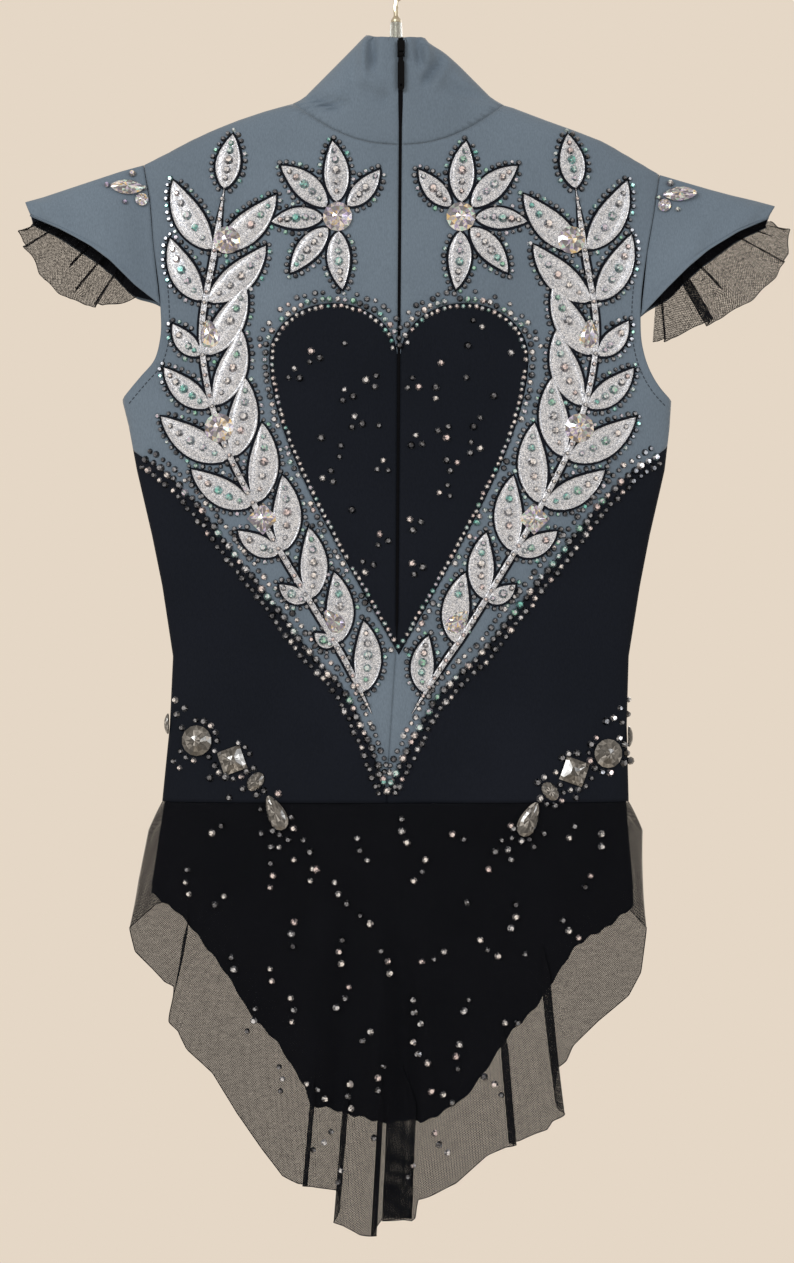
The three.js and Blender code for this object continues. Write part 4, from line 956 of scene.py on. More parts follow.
def glitter(name, dark, light):
    """Silver glitter cloth: tiny flakes that each lean their own way, each with a random painted
    glint for its brightness.
    """
    look = Look(name)
    cells = look.node("ShaderNodeTexVoronoi")
    cells.inputs["Scale"].default_value = 1900
    look.link(look.place.outputs["Object"], cells.inputs["Vector"])
    split = look.node("ShaderNodeSeparateColor")
    look.link(cells.outputs["Color"], split.inputs[0])
    # shade is each flake's painted glint in its colour; lean sets its roughness and bump, shine its
    # metal.
    shade, lean, shine = split.outputs
    look.set(Base_Color=look.blend(look.spread(shade, 0, 1), linear(*dark), linear(*light)),
             Roughness=look.spread(lean, 0, 1, 0.15, 0.6),
             Metallic=look.spread(shine, 0, 1, 0.1, 0.75))
    look.bump(lean, 0.9, 0.0004)
    return look.material


def crystal(name, shaded_facet_colour, tints, metallic, roughness):
    """A foiled glass stone: each facet has its own painted glint, a brightness painted in for the
    light it would reflect, running from a painted-shade colour up to the stone's tint, and each
    stone its own tint.
    """
    look = Look(name)
    # facet is each facet's painted glint, standing in for reflected light; stone is each stone's
    # tint.
    facet, stone = (look.node("ShaderNodeAttribute", attribute_name=attribute).outputs["Fac"]
                    for attribute in ("facet", "stone"))
    ramp = look.node("ShaderNodeValToRGB")
    while len(ramp.color_ramp.elements) < len(tints):
        ramp.color_ramp.elements.new(0.5)
    for i, (stop, tint) in enumerate(zip(ramp.color_ramp.elements, tints)):
        stop.position, stop.color = i / (len(tints) - 1), linear(*tint)
    drift = look.spread(look.noise(700), to_low=-0.25, to_high=0.25)
    look.link(look.math("ADD", stone, drift), ramp.inputs[0])
    # The painted glint blends each facet from the painted-shade colour to the tint.
    colour = look.blend(look.math("POWER", facet, 1.4), linear(*shaded_facet_colour), ramp.outputs["Color"])
    look.set(Base_Color=colour, Metallic=metallic, Roughness=roughness, Coat_Weight=1.0,
             Coat_Roughness=0.03)
    return look.material


def simple(name, colour, roughness, metallic=0.0, grain=400, **extra):
    look, colour = Look(name), linear(*colour)
    drift = look.noise(grain, 3)
    look.set(Base_Color=look.blend(look.spread(drift), shaded(colour, 0.8), colour),
             Roughness=look.spread(drift, 0.3, 0.7, roughness * 0.85, roughness * 1.15),
             Metallic=metallic, **extra)
    look.bump(drift, 0.15, 0.00005)
    return look.material


GREY = lycra("grey_lycra", (91, 106, 122), (100, 116, 133), 0.15, 0.12)
BLACK = lycra("black_lycra", (19, 23, 31), (23, 27, 36), 0.0, 0.03)
NET = netting("black_net", (11, 13, 18), 0.9, 0.52, 0.03, 1.7, (0.35, 1, 1))
FRONT_NET = netting("front_net", (11, 13, 18), 0.9, 0.34, 0.03, 1.7, (0.35, 1, 1))
FRILL_NET = netting("frill_net", (12, 13, 17), 1.1, 0.47, 0.13, 1.3, (1, 1, 1))
GLITTER = glitter("silver_glitter", (134, 142, 156), (232, 236, 244))
CLEAR = crystal("clear_crystal", (58, 62, 72),
                [(220, 226, 238), (252, 252, 254), (240, 222, 226)], 0.5, 0.08)
AURORA = crystal("aurora_crystal", (70, 96, 104),
                 [(120, 206, 200), (226, 240, 246), (214, 198, 226), (150, 214, 190)], 0.5, 0.1)
AURORA_STONE = crystal("aurora_stone", (96, 96, 108),
                       [(240, 210, 140), (252, 252, 252), (158, 144, 208), (250, 250, 250),
                        (180, 224, 214)], 0.45, 0.08)
# The pale middle tint gives about a third of the dark stones a painted highlight on their table.
DARK = crystal("dark_crystal", (6, 7, 10),
               [(44, 50, 64), (170, 176, 188), (82, 87, 99)], 0.6, 0.1)
HEMATITE = crystal("dark_stone", (52, 53, 54),
                   [(98, 100, 102), (134, 135, 135), (196, 198, 200)], 0.7, 0.12)
ZIP = simple("zip_coil", (6, 7, 10), 0.5, Specular_IOR_Level=0.06)
ZIP_TAPE = simple("zip_tape", (8, 9, 13), 0.8, Specular_IOR_Level=0.05)
THREAD_GREY = simple("grey_thread", (56, 64, 76), 0.8, Specular_IOR_Level=0.1)
STEEL = simple("hook_metal", (196, 190, 172), 0.22, 1.0)
PLASTIC = simple("clear_plastic", (232, 238, 240), 0.12, Transmission_Weight=0.85, IOR=1.49)

# ---------------------------------------------------------------- camera, light and floor

CAMERA_AWAY = 1.408
LOOK_AT = (0.0006, 0.0, -0.4315)
camera_data = bpy.data.cameras.new("camera")
camera_data.lens = 64.4
camera_data.sensor_width = 36
camera = bpy.data.objects.new("camera", camera_data)
camera.location = (LOOK_AT[0], -CAMERA_AWAY, LOOK_AT[2])
camera.rotation_euler = (math.pi / 2, 0, 0)
bpy.context.scene.collection.objects.link(camera)
bpy.context.scene.camera = camera
bpy.context.scene.view_settings.view_transform = "Standard"

world = bpy.data.worlds.new("world")
world.use_nodes = True
world.node_tree.nodes["Background"].inputs["Color"].default_value = linear(229, 215, 198)
world.node_tree.nodes["Background"].inputs["Strength"].default_value = 1.0
bpy.context.scene.world = world


def area_light(name, place, aim, size, power, colour):
    data = bpy.data.lights.new(name, "AREA")
    data.energy, data.size, data.color = power, size, colour
    lamp = bpy.data.objects.new(name, data)
    lamp.location = place
    direction = Vector(aim) - Vector(place)
    lamp.rotation_euler = direction.to_track_quat("-Z", "Y").to_euler()
    bpy.context.scene.collection.objects.link(lamp)


area_light("key", (-1.6, -2.0, 0.7), (0, 0, -0.4), 1.2, 34, (1.0, 0.98, 0.95))
area_light("fill", (1.8, -1.8, 0.0), (0, 0, -0.4), 1.4, 14, (0.96, 0.98, 1.0))
area_light("back", (0.4, 2.2, 0.6), (0, 0, -0.4), 1.4, 16, (1, 1, 1))

FLOOR_RADIUS, FLOOR_HEIGHT, FLOOR_SIDES = 700, -1150, 96
turns = np.linspace(0, 2 * math.pi, FLOOR_SIDES, endpoint=False)
floor = make_object(
    "floor",
    [(FLOOR_RADIUS * math.cos(t), FLOOR_RADIUS * math.sin(t), FLOOR_HEIGHT) for t in turns],
    [tuple(range(FLOOR_SIDES))],
    simple("floor", (232, 222, 208), 0.8, grain=3),
)

# ---------------------------------------------------------------- the body's cloth

SKIRT_CLOTH = 1.0
SLEEVE_CLOTH = 1.2
NET_INSET = 0.4
FRILL_ROWS, SLEEVE_ROWS, LINING_ROWS, SKIRT_ROWS = 12, 48 * FINE, 14 * FINE, 60 * FINE
FRILL_COLUMNS, SLEEVE_COLUMNS, SKIRT_COLUMNS = 120 * FINE, 20 * FINE, 110 * FINE


def cloth(node, part, look, slot, thickness=BODY_CLOTH):
    """Hangs one piece of cloth in its node's place and says what it was cut from."""
    points, triangles, places = part
    faces = triangles.tolist()
    if thickness:
        points, faces = thicken(points, triangles, thickness)
        places = np.concatenate([places, places])
    made = piece(f"{node}_cloth", points, faces, look, slot, stands_for=node)
    add_uv(made, places)


def cut_wall(side, seeds):
    """One side of the body, cut along its seams, the armholes and the collar's top."""
    seams = list(SEAMS[side].values())
    return cut_sheet(side, [*seams, *ARMHOLE_EDGES.values(), COLLAR_TOP], seeds, seams)


# A place inside the right one of each pair of pieces of the back: across, height.
PAIRED = {"back_yoke": (100, -200), "heart": (40, -300), "back_side": (100, -450)}
back_seeds = {f"{name}_{side}": (sign * x, z) for name, (x, z) in PAIRED.items()
              for side, sign in SIDES}
back_seeds |= {"collar_left": (-15, -90), "collar_right": (25, -90),
               "zip_strip": (float(centre_back(-300)), -300)}
back = cut_wall("back", back_seeds)
front = cut_wall("front", {"collar": (0, -90), "front_yoke": (0, -250), "front_body": (0, -480)})

collar = weld([back["collar_left"], front["collar"], back["collar_right"]])
cloth("collar", collar, GREY, "grey_cloth")
for side, _ in SIDES:
    yoke, heart, flank = (f"{name}_{side}" for name in PAIRED)
    cloth(yoke, back[yoke], GREY, "grey_cloth")
    cloth(heart, back[heart], BLACK, "black_cloth")
    cloth(flank, back[flank], BLACK, "black_cloth")
cloth("zip_strip", back["zip_strip"], ZIP_TAPE, "zip")
cloth("front_yoke", front["front_yoke"], GREY, "grey_cloth")
cloth("front_body", front["front_body"], BLACK, "black_cloth")

net_edges = []
for side, _ in SIDES:
    cloth(f"sleeve_{side}", sleeve_mesh(side, 0, 1, SLEEVE_ROWS, SLEEVE_COLUMNS), GREY,
          "grey_cloth")
    lining = sleeve_mesh(side, 0.72, 0.995, LINING_ROWS, SLEEVE_COLUMNS,
                         SLEEVE_CLOTH + LINING_GAP)
    cloth(f"sleeve_lining_{side}", lining, BLACK, "black_cloth", SKIRT_CLOTH)
    frill = frill_mesh(side, FRILL_ROWS, FRILL_COLUMNS)
    cloth(f"frill_{side}", frill, FRILL_NET, "black_net", 0)
    net_edges.append(frill[0].reshape(FRILL_ROWS, -1, 3)[-1])
for name, (_, _, _, under, front_side) in SKIRTS.items():
    folds = NET_FOLDS if name == "net_skirt_back" else ()
    part = skirt_mesh(name, SKIRT_ROWS, SKIRT_COLUMNS, 0 if under else NET_INSET, folds)
    look = BLACK if under else FRONT_NET if front_side else NET
    cloth(name, part, look, "black_cloth" if under else "black_net", SKIRT_CLOTH if under else 0)
    if not under:
        net_edges.append(part[0].reshape(SKIRT_ROWS, -1, 3)[-1])


def leg_line(sign):
    t = np.linspace(0, 1, 24)[:, None]
    start, a, b, c = np.array(LEG_LINE, float)
    path = (1 - t) ** 2 * a + 2 * (1 - t) * t * b + t**2 * c
    return np.concatenate([[start], path]) * (sign, 1)


briefs = [
    cut_sheet(side, [leg_line(-1), leg_line(1)], {"briefs": (0, -600)},
              sections=BRIEFS_SECTIONS, low=BRIEFS_SECTIONS[-1][0])["briefs"]
    for side in ("back", "front")
]
cloth("briefs", weld(briefs), BLACK, "black_cloth")

# ---------------------------------------------------------------- sewing

NET_EDGE_RADIUS = 0.28
STITCH = {"length": 1.9, "gap": 1.1, "radius": 0.22, "lift": 0.18, "clear": 0.1}
ARMHOLE_STITCHES_FROM, ARMHOLE_STITCHES_IN = -214, 5.5


def tubes(name, paths, radius, look, slot):
    piece(name, *join([tube(path, radius) for path in paths]), look, slot)


def stitches(side, sign, paths):
    """Short raised threads along paths of across and height on one side of the dress."""
    made = []
    pitch = STITCH["length"] + STITCH["gap"]
    share = np.linspace(0, 1, 5)[:, None]
    lift = STITCH["lift"] * np.sin(math.pi * share[:, 0])
    for path in paths:
        line = curve_points(path, pitch)
        for start, end in zip(line[:-1], line[1:]):
            step = (end - start) * STITCH["length"] / pitch
            across, height = (start + step * share).T
            y = body_y(across, height, side) + STITCH["clear"] * sign - lift
            made.append(np.stack([across, y, height], 1))
    tubes(f"stitches_{side}", made, STITCH["radius"], THREAD_GREY, "grey_cloth")


tubes("net_edges", net_edges, NET_EDGE_RADIUS, ZIP, "black_net")
stitch_paths = []
for side, sign in SIDES:
    path = ARMHOLE_EDGES[side]
    path = path[path[:, 1] < ARMHOLE_STITCHES_FROM]
    stitch_paths.append(beside(path, -ARMHOLE_STITCHES_IN * sign))
stitches("back", -1, stitch_paths)
stitches("front", 1, stitch_paths)

# ---------------------------------------------------------------- crystals

SEED = 7
rng = np.random.default_rng(SEED)


def gem_rings(sides, rings, outline, apex=None):
    """Points and triangles of a faceted stone of width 1 and height 1 on the XY plane.

    Each ring is a share of the outline and a height; every second one is turned half a facet.
    The top is flat unless apex gives its middle's height.
    """
    points, triangles = [], []
    for i, (share, height) in enumerate(rings):
        turn = 2 * math.pi * (np.arange(sides) + 0.5 * (i % 2)) / sides
        flat = outline(turn) * share
        points.append(np.column_stack([flat, np.full(sides, height)]))
    for i in range(len(rings) - 1):
        low, high = i * sides, (i + 1) * sides
        for j in range(sides):
            after = (j + 1) % sides
            tip, foot = (high + after, low + j) if i % 2 else (high + j, low + after)
            triangles += [(low + j, low + after, tip), (foot, high + after, high + j)]
    top = (len(rings) - 1) * sides
    points.append([[0, 0, rings[-1][1] if apex is None else apex]])
    triangles += [(top + j, top + (j + 1) % sides, top + sides) for j in range(sides)]
    return np.concatenate(points), np.array(triangles)


def circle(turn):
    return np.stack([np.cos(turn), np.sin(turn)], 1) / 2


SMALL_SIDES = 8
SMALL_TALL = 0.42
SMALL_GEM = gem_rings(SMALL_SIDES, [(1, 0), (0.56, 1)], circle)


def set_gems(name, look, slot, frames, sizes, lift=0.0):
    """One mesh of many small stones, each turned at random and leaning a little."""
    points, triangles = SMALL_GEM
    place, side, up, out = frames
    count = len(place)
    turn = rng.uniform(0, 2 * math.pi, count)[:, None]
    lean = rng.normal(0, 0.05, (count, 2))
    x = np.cos(turn) * side + np.sin(turn) * up
    y = -np.sin(turn) * side + np.cos(turn) * up
    z = out + lean[:, :1] * side + lean[:, 1:] * up
    scale = sizes[:, None, None]
    heights = points[:, 2:] * scale * SMALL_TALL + np.reshape(lift, (-1, 1, 1))
    made_points = (
        place[:, None] + points[:, :1] * scale * x[:, None]
        + points[:, 1:2] * scale * y[:, None] + heights * z[:, None]
    )
    faces = triangles + (np.arange(count) * len(points))[:, None, None]
    made = piece(name, made_points.reshape(-1, 3), faces.reshape(-1, 3), look, slot, False)
    paint_glints_and_tints(made, len(triangles), SMALL_SIDES)


def paint_glints_and_tints(made, faces_each, tops=0):
    """Gives every facet a painted glint, a brightness that stands in for the light it would
    reflect, and a tint.

    Where tops is given, that many facets of each stone are its table with a bright painted
    highlight, the rest get painted shade, and the whole stone has one tint. Else each facet
    has its own.
    """
    total = len(made.data.polygons)
    painted_glints = rng.beta(1.1, 1.0, total)
    if tops:
        # Table facets get a bright painted highlight and the side facets get painted shade.
        on_top = np.arange(total) % faces_each >= faces_each - tops
        painted_glints = np.where(on_top, rng.beta(1.6, 0.6, total), rng.beta(0.8, 1.7, total))
    each = faces_each if tops else 1
    tints = np.repeat(rng.uniform(0, 1, total // each + 1), each)[:total]
    for name, values in (("facet", painted_glints), ("stone", tints)):
        layer = made.data.attributes.new(name, "FLOAT", "FACE")
        layer.data.foreach_set("value", values.astype(np.float32))

# Small stones by kind: across, height, size and how far they stand off the cloth.
crystals = {"clear": [], "aurora": [], "dark": []}


def sprinkle(kind, across, height, size, lift=0.0):
    crystals[kind].append((across, height, size, lift))


def stone_row(path, offset, spacing, sizes, kinds, wander=0.4, lift=0.0, open_place=None):
    """A row of stones along a path, where open_place says that a stone has room."""
    line = curve_points(beside(curve_points(path, 2), offset), spacing)
    for i, (across, height) in enumerate(line):
        across += rng.normal(0, wander)
        height += rng.normal(0, wander)
        kind = kinds[int(rng.integers(len(kinds)))]
        size = sizes[i % len(sizes)]
        if open_place is None or open_place(across, height, size):
            sprinkle(kind, across, height, size, lift)


def inside(across, height, path):
    """Whether a place lies within a closed outline."""
    crossings = 0
    for (x0, z0), (x1, z1) in zip(path, np.roll(path, -1, axis=0)):
        if (z0 > height) != (z1 > height):
            crossings += across < x0 + (height - z0) * (x1 - x0) / (z1 - z0)
    return crossings % 2 == 1

# ---------------------------------------------------------------- large stones

# name, cut, across, height, width, length, turn in degrees
STONES = [
    ("belt_left_round", "round", -123, -499, 19, 19, 0),
    ("belt_left_square", "square", -101, -511, 15, 15, 20),
    ("belt_left_oval", "oval", -86.5, -524, 9, 13, -40),
    ("belt_left_pear", "pear", -74, -543, 11, 23, 25),
    ("belt_right_round", "round", 131, -507, 18, 18, 0),
    ("belt_right_square", "square", 110, -518, 15, 15, -20),
    ("belt_right_oval", "oval", 95, -530, 9, 13, 40),
    ("belt_right_pear", "pear", 82, -547, 11, 23, -25),
    ("neck_left_round", "round", -36, -176, 18, 18, 0),
    ("neck_right_round", "round", 40, -176, 18, 18, 0),
    ("spray_left_top", "round", -104, -190, 17, 17, 0),
    ("spray_left_high", "pear", -115, -248, 12, 18, 8),
    ("spray_left_middle", "round", -109, -306, 18, 18, 0),
    ("spray_left_low", "square", -82, -362, 14, 14, 45),
    ("spray_left_foot", "pear", -38, -425, 11, 17, 40),
    ("spray_right_top", "round", 108, -190, 17, 17, 0),
    ("spray_right_high", "pear", 119, -248, 12, 18, -8),
    ("spray_right_middle", "round", 113, -306, 18, 18, 0),
    ("spray_right_low", "square", 85, -362, 14, 14, 45),
    ("spray_right_foot", "pear", 38, -425, 11, 17, -40),
]
# name, side, cut, along the sleeve, down it, width, length, turn in degrees
SLEEVE_STONES = [
    ("sleeve_left_oval", "left", "navette", 0.16, 0.18, 9.5, 21, 80),
    ("sleeve_left_round", "left", "round", 0.06, 0.3, 8, 8, 0),
    ("sleeve_right_oval", "right", "navette", 0.2, 0.16, 9.5, 21, -80),
    ("sleeve_right_round", "right", "round", 0.08, 0.27, 8, 8, 0),
]
EDGE_STONES = [("belt_left_edge", -489, 9, 13, -1), ("belt_right_edge", -497, 9, 13, 1)]


def square(turn):
    flat = circle(turn)
    return flat / np.maximum(np.abs(flat).max(1, keepdims=True), 1e-6) / 2


def pear(turn):
    flat = circle(turn)
    return np.stack([flat[:, 0] * (1 - 0.75 * flat[:, 1]), flat[:, 1]], 1)


def navette(turn):
    flat = circle(turn)
    return np.stack([flat[:, 0] * (1 - 1.3 * flat[:, 1] ** 2), flat[:, 1]], 1)


STEPPED = [(1, 0), (1, 0.26), (0.8, 0.6), (0.5, 0.9)]
POINTED = [(1, 0), (1, 0.24), (0.72, 0.5), (0.34, 0.86)]
GEMS = {
    "round": gem_rings(14, POINTED, circle, 1),
    "square": gem_rings(16, POINTED, square, 1),
    "oval": gem_rings(14, STEPPED, circle, 1),
    "pear": gem_rings(16, STEPPED, pear, 1),
    "navette": gem_rings(16, STEPPED, navette, 1),
}


def set_large(name, cut, width, length, turn, place, side, up, out, dark=False):
    """A large faceted stone in its node's place."""
    points, triangles = GEMS[cut]
    angle = math.radians(turn)
    x = math.cos(angle) * side + math.sin(angle) * up
    y = -math.sin(angle) * side + math.cos(angle) * up
    tall = max(width * 0.3, 2.2)
    made_points = (
        place + points[:, :1] * width * x + points[:, 1:2] * length * y + points[:, 2:] * tall * out
    )
    made = piece(f"{name}_gem", made_points, triangles, HEMATITE if dark else AURORA_STONE,
                 "dark_stone" if dark else "clear_stone", False, name)
    paint_glints_and_tints(made, len(triangles))


BACK_CLEAR, EDGE_CLEAR, SLEEVE_CLEAR = 0.3, 0.9, 1.2


def on_sleeve(side, run, down, ahead=0.0, over=0.0):
    """A place on a sleeve's back: shares along and down it, moved ahead and over the top."""
    middle = math.asin(1 - down) / math.pi
    return sleeve_point(side, np.float64(run + ahead), np.float64(middle + over))


for name, cut, across, height, width, length, turn in STONES:
    place, side, up, out = back_frame(across, height)
    set_large(name, cut, width, length, turn, place + BACK_CLEAR * out, side, up, out,
              name.startswith("belt"))
for name, height, width, length, sign in EDGE_STONES:
    fold = section_at(height)[0 if sign < 0 else 1]
    out, up = np.array([float(sign), 0, 0]), np.array([0.0, 0, 1])
    place = np.array([float(fold), 0, height]) + EDGE_CLEAR * out
    set_large(name, "oval", width, length, 0, place, np.cross(up, out), up, out, True)
for name, side_name, cut, run, down, width, length, turn in SLEEVE_STONES:
    spot, step, rise = (side_name, run, down), dict(SIDES)[side_name] / 80, 1 / 160
    side = unit(on_sleeve(*spot, step) - on_sleeve(*spot, -step))
    out = unit(np.cross(side, on_sleeve(*spot, 0, rise) - on_sleeve(*spot, 0, -rise)))
    set_large(name, cut, width, length, turn, on_sleeve(*spot) + SLEEVE_CLEAR * out, side,
              np.cross(out, side), out)

# Small stones on each sleeve: along it, down it, size.
SLEEVE_SMALL = [(0.1, 0.06, 4.6), (0.3, 0.12, 3.6), (0.02, 0.2, 3.4), (0.2, 0.32, 3.4)]
frames = []
for side_name, sign in SIDES:
    for run, down, _ in SLEEVE_SMALL:
        spot = (side_name, run, down)
        place = on_sleeve(*spot)
        side = unit(on_sleeve(*spot, 0.01) - place)
        out = unit(np.cross(side * sign, on_sleeve(*spot, 0, 0.01) - place))
        frames.append((place + EDGE_CLEAR * out, side, np.cross(out, side), out))
set_gems("sleeve_crystals", AURORA_STONE, "clear_stone", np.array(frames).swapaxes(0, 1),
         np.tile(column(SLEEVE_SMALL, 2), 2))

# ---------------------------------------------------------------- glitter leaves

# A plain laurel branch on each side, and a fan of leaves round each neck stone.
STEM = [(-15, -482), (-30, -452), (-56, -408), (-86, -356), (-110, -304), (-120, -248),
        (-112, -196), (-106, -158)]
LEAF_PAIRS = 10
LEAF_LENGTH, LEAF_WIDTH, LEAF_ANGLE_LOW, LEAF_ANGLE = 50, 18, 26, 40
LEAF_LEAST, LEAF_CLEAR, LEAF_FOOT, LEAF_BEND = 13, 4.6, 2.5, 0.5
TIP_LEAF, NECK_FOOT = (34, 15), 9
STEM_WIDTH = 3.4
# turn from straight up in degrees (above 0 is away from the zip), length, width
NECK_LEAVES = [
    (4, 38, 15), (48, 38, 15), (-42, 30, 12), (94, 32, 13), (140, 36, 14), (184, 36, 14),
]
NECK_CENTRES = [(-36, -176, -1), (40, -176, 1)]
LEAF_ROWS, LEAF_COLUMNS = 18, 9
leaf_keep_off = [curve_points(path, 3)
                 for path in (*SEAMS["back"].values(), *ARMHOLE_EDGES.values())]


def leaf_outline(base, heading, length, width, bend, grow=0.0):
    """The leaf's middle line, its sideways directions and its half widths."""
    t = np.linspace(0, 1, LEAF_ROWS)
    turn = heading + bend * (t - 0.5)
    step = (length + 2 * grow) / (LEAF_ROWS - 1)
    steps = np.stack([np.cos(turn), np.sin(turn)], 1) * step
    middle = np.array(base) - grow * steps[0] / step + np.concatenate(
        [[[0, 0]], np.cumsum((steps[1:] + steps[:-1]) / 2, 0)]
    )
    sideways = np.stack([-np.sin(turn), np.cos(turn)], 1)
    half = width / 2 * np.sin(np.pi * t**0.85) ** 0.85 + grow * np.sin(np.pi * t) ** 0.4
    return middle, sideways, np.maximum(half, 0.02)


def stem_outline(path, width, grow):
    """The same for a stem, which keeps one width up to its pointed ends."""
    middle = curve_points(path, 3)
    t = np.linspace(0, 1, len(middle))
    half = (width / 2 + grow) * np.minimum(1, 12 * t + 0.1) * np.minimum(1, 12 * (1 - t) + 0.1)
    return middle, beside(middle, 1) - middle, half


def rim_of(outline):
    """Up one edge of a leaf and back down the other."""
    middle, sideways, half = outline
    edge = sideways * half[:, None]
    return np.concatenate([middle + edge, (middle - edge)[::-1]])


def leaf_mesh(outline, low, dome):
    middle, sideways, half = outline
    rows = len(middle)
    t, s = np.linspace(0, 1, rows), np.linspace(-1, 1, LEAF_COLUMNS)
    flat = middle[:, None] + sideways[:, None] * (half[:, None, None] * s[None, :, None])
    place, _, _, out = back_frame(flat[..., 0], flat[..., 1])
    round_off = (1 - s[None, :] ** 4) * np.sin(np.pi * np.clip(t, 0.02, 0.98))[:, None] ** 0.3
    crease = 0.35 * np.exp(-((s[None, :] / 0.12) ** 2))
    height = low + dome * round_off - crease * round_off
    points = place + out * height[..., None]
    foot = place - out * 0.2
    ring = np.concatenate([np.arange(rows) * LEAF_COLUMNS,
                           (rows - 1) * LEAF_COLUMNS + np.arange(1, LEAF_COLUMNS),
                           (np.arange(rows - 2, -1, -1)) * LEAF_COLUMNS + LEAF_COLUMNS - 1,
                           np.arange(LEAF_COLUMNS - 2, 0, -1)])
    count = rows * LEAF_COLUMNS
    triangles = grid_triangles(rows, LEAF_COLUMNS)
    points, foot = points.reshape(-1, 3), foot.reshape(-1, 3)[ring]
    if (vertex_normals(points, triangles) * out.reshape(-1, 3)).sum() < 0:
        triangles = triangles[:, ::-1]
    after = np.roll(np.arange(len(ring)), -1)
    wall = np.concatenate([
        np.stack([ring, ring[after], count + after], 1),
        np.stack([ring, count + after, count + np.arange(len(ring))], 1),
    ])
    return np.concatenate([points, foot]), np.concatenate([triangles, wall])


leaves = []


def add_leaf(base, heading, length, width, bend):
    """Adds the longest leaf up to length that keeps clear of the seams."""
    while length > LEAF_LEAST:
        rim = rim_of(leaf_outline(base, heading, length, width, bend, 2.5))
        if distance_to(leaf_keep_off, *rim.T).min() > LEAF_CLEAR:
            leaves.append((base, heading, length, width, bend))
            return
        length -= 3
        width -= 0.8


stems = []
for mirrored in (False, True):
    stem = rounded(STEM, 2)
    if mirrored:
        stem[:, 0] = 2 * centre_back(stem[:, 1]) - stem[:, 0]
    stems.append(stem)
    for i in range(LEAF_PAIRS):
        share = 0.04 + 0.86 * i / (LEAF_PAIRS - 1)
        index = int(share * (len(stem) - 3))
        ahead = stem[index + 2] - stem[index]
        heading = math.atan2(ahead[1], ahead[0])
        for side in (-1, 1):
            turn = side * math.radians(lerp(LEAF_ANGLE_LOW, LEAF_ANGLE, share))
            toward = np.array([math.cos(heading + turn), math.sin(heading + turn)])
            base = stem[index] + LEAF_FOOT * toward
            add_leaf(tuple(base), heading + turn, LEAF_LENGTH, LEAF_WIDTH, -side * LEAF_BEND)
    tip = stem[-1] - stem[-3]
    add_leaf(tuple(stem[-1]), math.atan2(tip[1], tip[0]), *TIP_LEAF, 0.0)
for across, height, sign in NECK_CENTRES:
    for degrees, length, width in NECK_LEAVES:
        heading = math.radians(90 - sign * degrees)
        base = (across + NECK_FOOT * math.cos(heading), height + NECK_FOOT * math.sin(heading))
        add_leaf(base, heading, length, width, -0.25 * sign)


for name, look, grow, low, dome in (
    ("leaf_backing", BLACK, 1.5, 0.45, 0.15), ("leaf_glitter", GLITTER, 0.0, 0.75, 0.95),
):
    parts = [leaf_mesh(leaf_outline(*leaf, grow), low + 0.12 * (i % 3), dome)
             for i, leaf in enumerate(leaves)]
    parts += [leaf_mesh(stem_outline(stem, STEM_WIDTH, grow), low - 0.1, dome) for stem in stems]
    piece(name, *join(parts), look, "black_cloth" if look is BLACK else "clear_stone")

leaf_rims = [rim_of(leaf_outline(*leaf, 1.0)) for leaf in leaves]
leaf_middles = [leaf_outline(*leaf, 1.0)[0][LEAF_ROWS // 2] for leaf in leaves]


def on_other_leaf(across, height, index):
    for i, (rim, middle) in enumerate(zip(leaf_rims, leaf_middles)):
        near = math.hypot(across - middle[0], height - middle[1]) < LEAF_LENGTH * 0.6
        if i != index and near and inside(across, height, rim):
            return True
    return False


# share along a leaf, size
LEAF_STONES = [(0.18, 3.8), (0.34, 5.2), (0.52, 6.2), (0.69, 5.2), (0.83, 3.8)]
STEM_SPACING, STEM_STONE = 6.5, 3.0
RIM_SPACING, RIM_SIZES = 4.3, (3.6, 3.1, 3.9)
taken = []


def free(across, height, size):
    """Whether no stone lies here yet; if so, the place is taken."""
    if any(math.hypot(across - x, height - z) < 0.46 * (size + other) for x, z, other in taken):
        return False
    taken.append((across, height, size))
    return True


for _, _, across, height, width, length, _ in STONES:
    taken.append((across, height, (width + length) / 2))
for i, leaf in enumerate(leaves):
    middle = leaf_outline(*leaf)[0]
    for share, size in LEAF_STONES:
        across, height = map(float, along(middle, share))
        if free(across, height, size):
            sprinkle(("clear", "aurora")[(i + int(share * 10)) % 2], across, height, size, 1.6)
for stem in stems:
    for across, height in curve_points(stem, STEM_SPACING)[1:-1]:
        if free(across, height, STEM_STONE):
            sprinkle("clear", across, height, STEM_STONE, 1.5)
for i, leaf in enumerate(leaves):
    rim = rim_of(leaf_outline(*leaf, 3.0))
    for j, (across, height) in enumerate(curve_points(rim, RIM_SPACING)[1:-1]):
        size = RIM_SIZES[j % 3]
        if not on_other_leaf(across, height, i) and free(across, height, size):
            sprinkle(("dark", "dark", "aurora", "dark")[j % 4], across, height, size)

# Rows along the V seam, mostly dark: offset, spacing, sizes, kinds.
V_ROWS = [
    (-5.4, 4.8, (3.8, 4.6, 3.4), ("dark", "dark", "clear")),
    (0.2, 5.4, (5.2, 4.2, 5.4), ("dark", "clear", "dark", "aurora")),
    (5.6, 5.0, (3.6, 4.8, 4.0), ("dark", "dark", "dark", "clear")),
]
FOLD_CLEAR = 6
for side, sign in SIDES:
    path = SEAMS["back"][f"v_{side}"]
    fold = section_at(path[:, 1])
    keep = (path[:, 0] > fold[0] + FOLD_CLEAR) & (path[:, 0] < fold[1] - FOLD_CLEAR)
    for offset, spacing, sizes, kinds in V_ROWS:
        stone_row(path[keep], offset * sign, spacing, sizes, kinds)

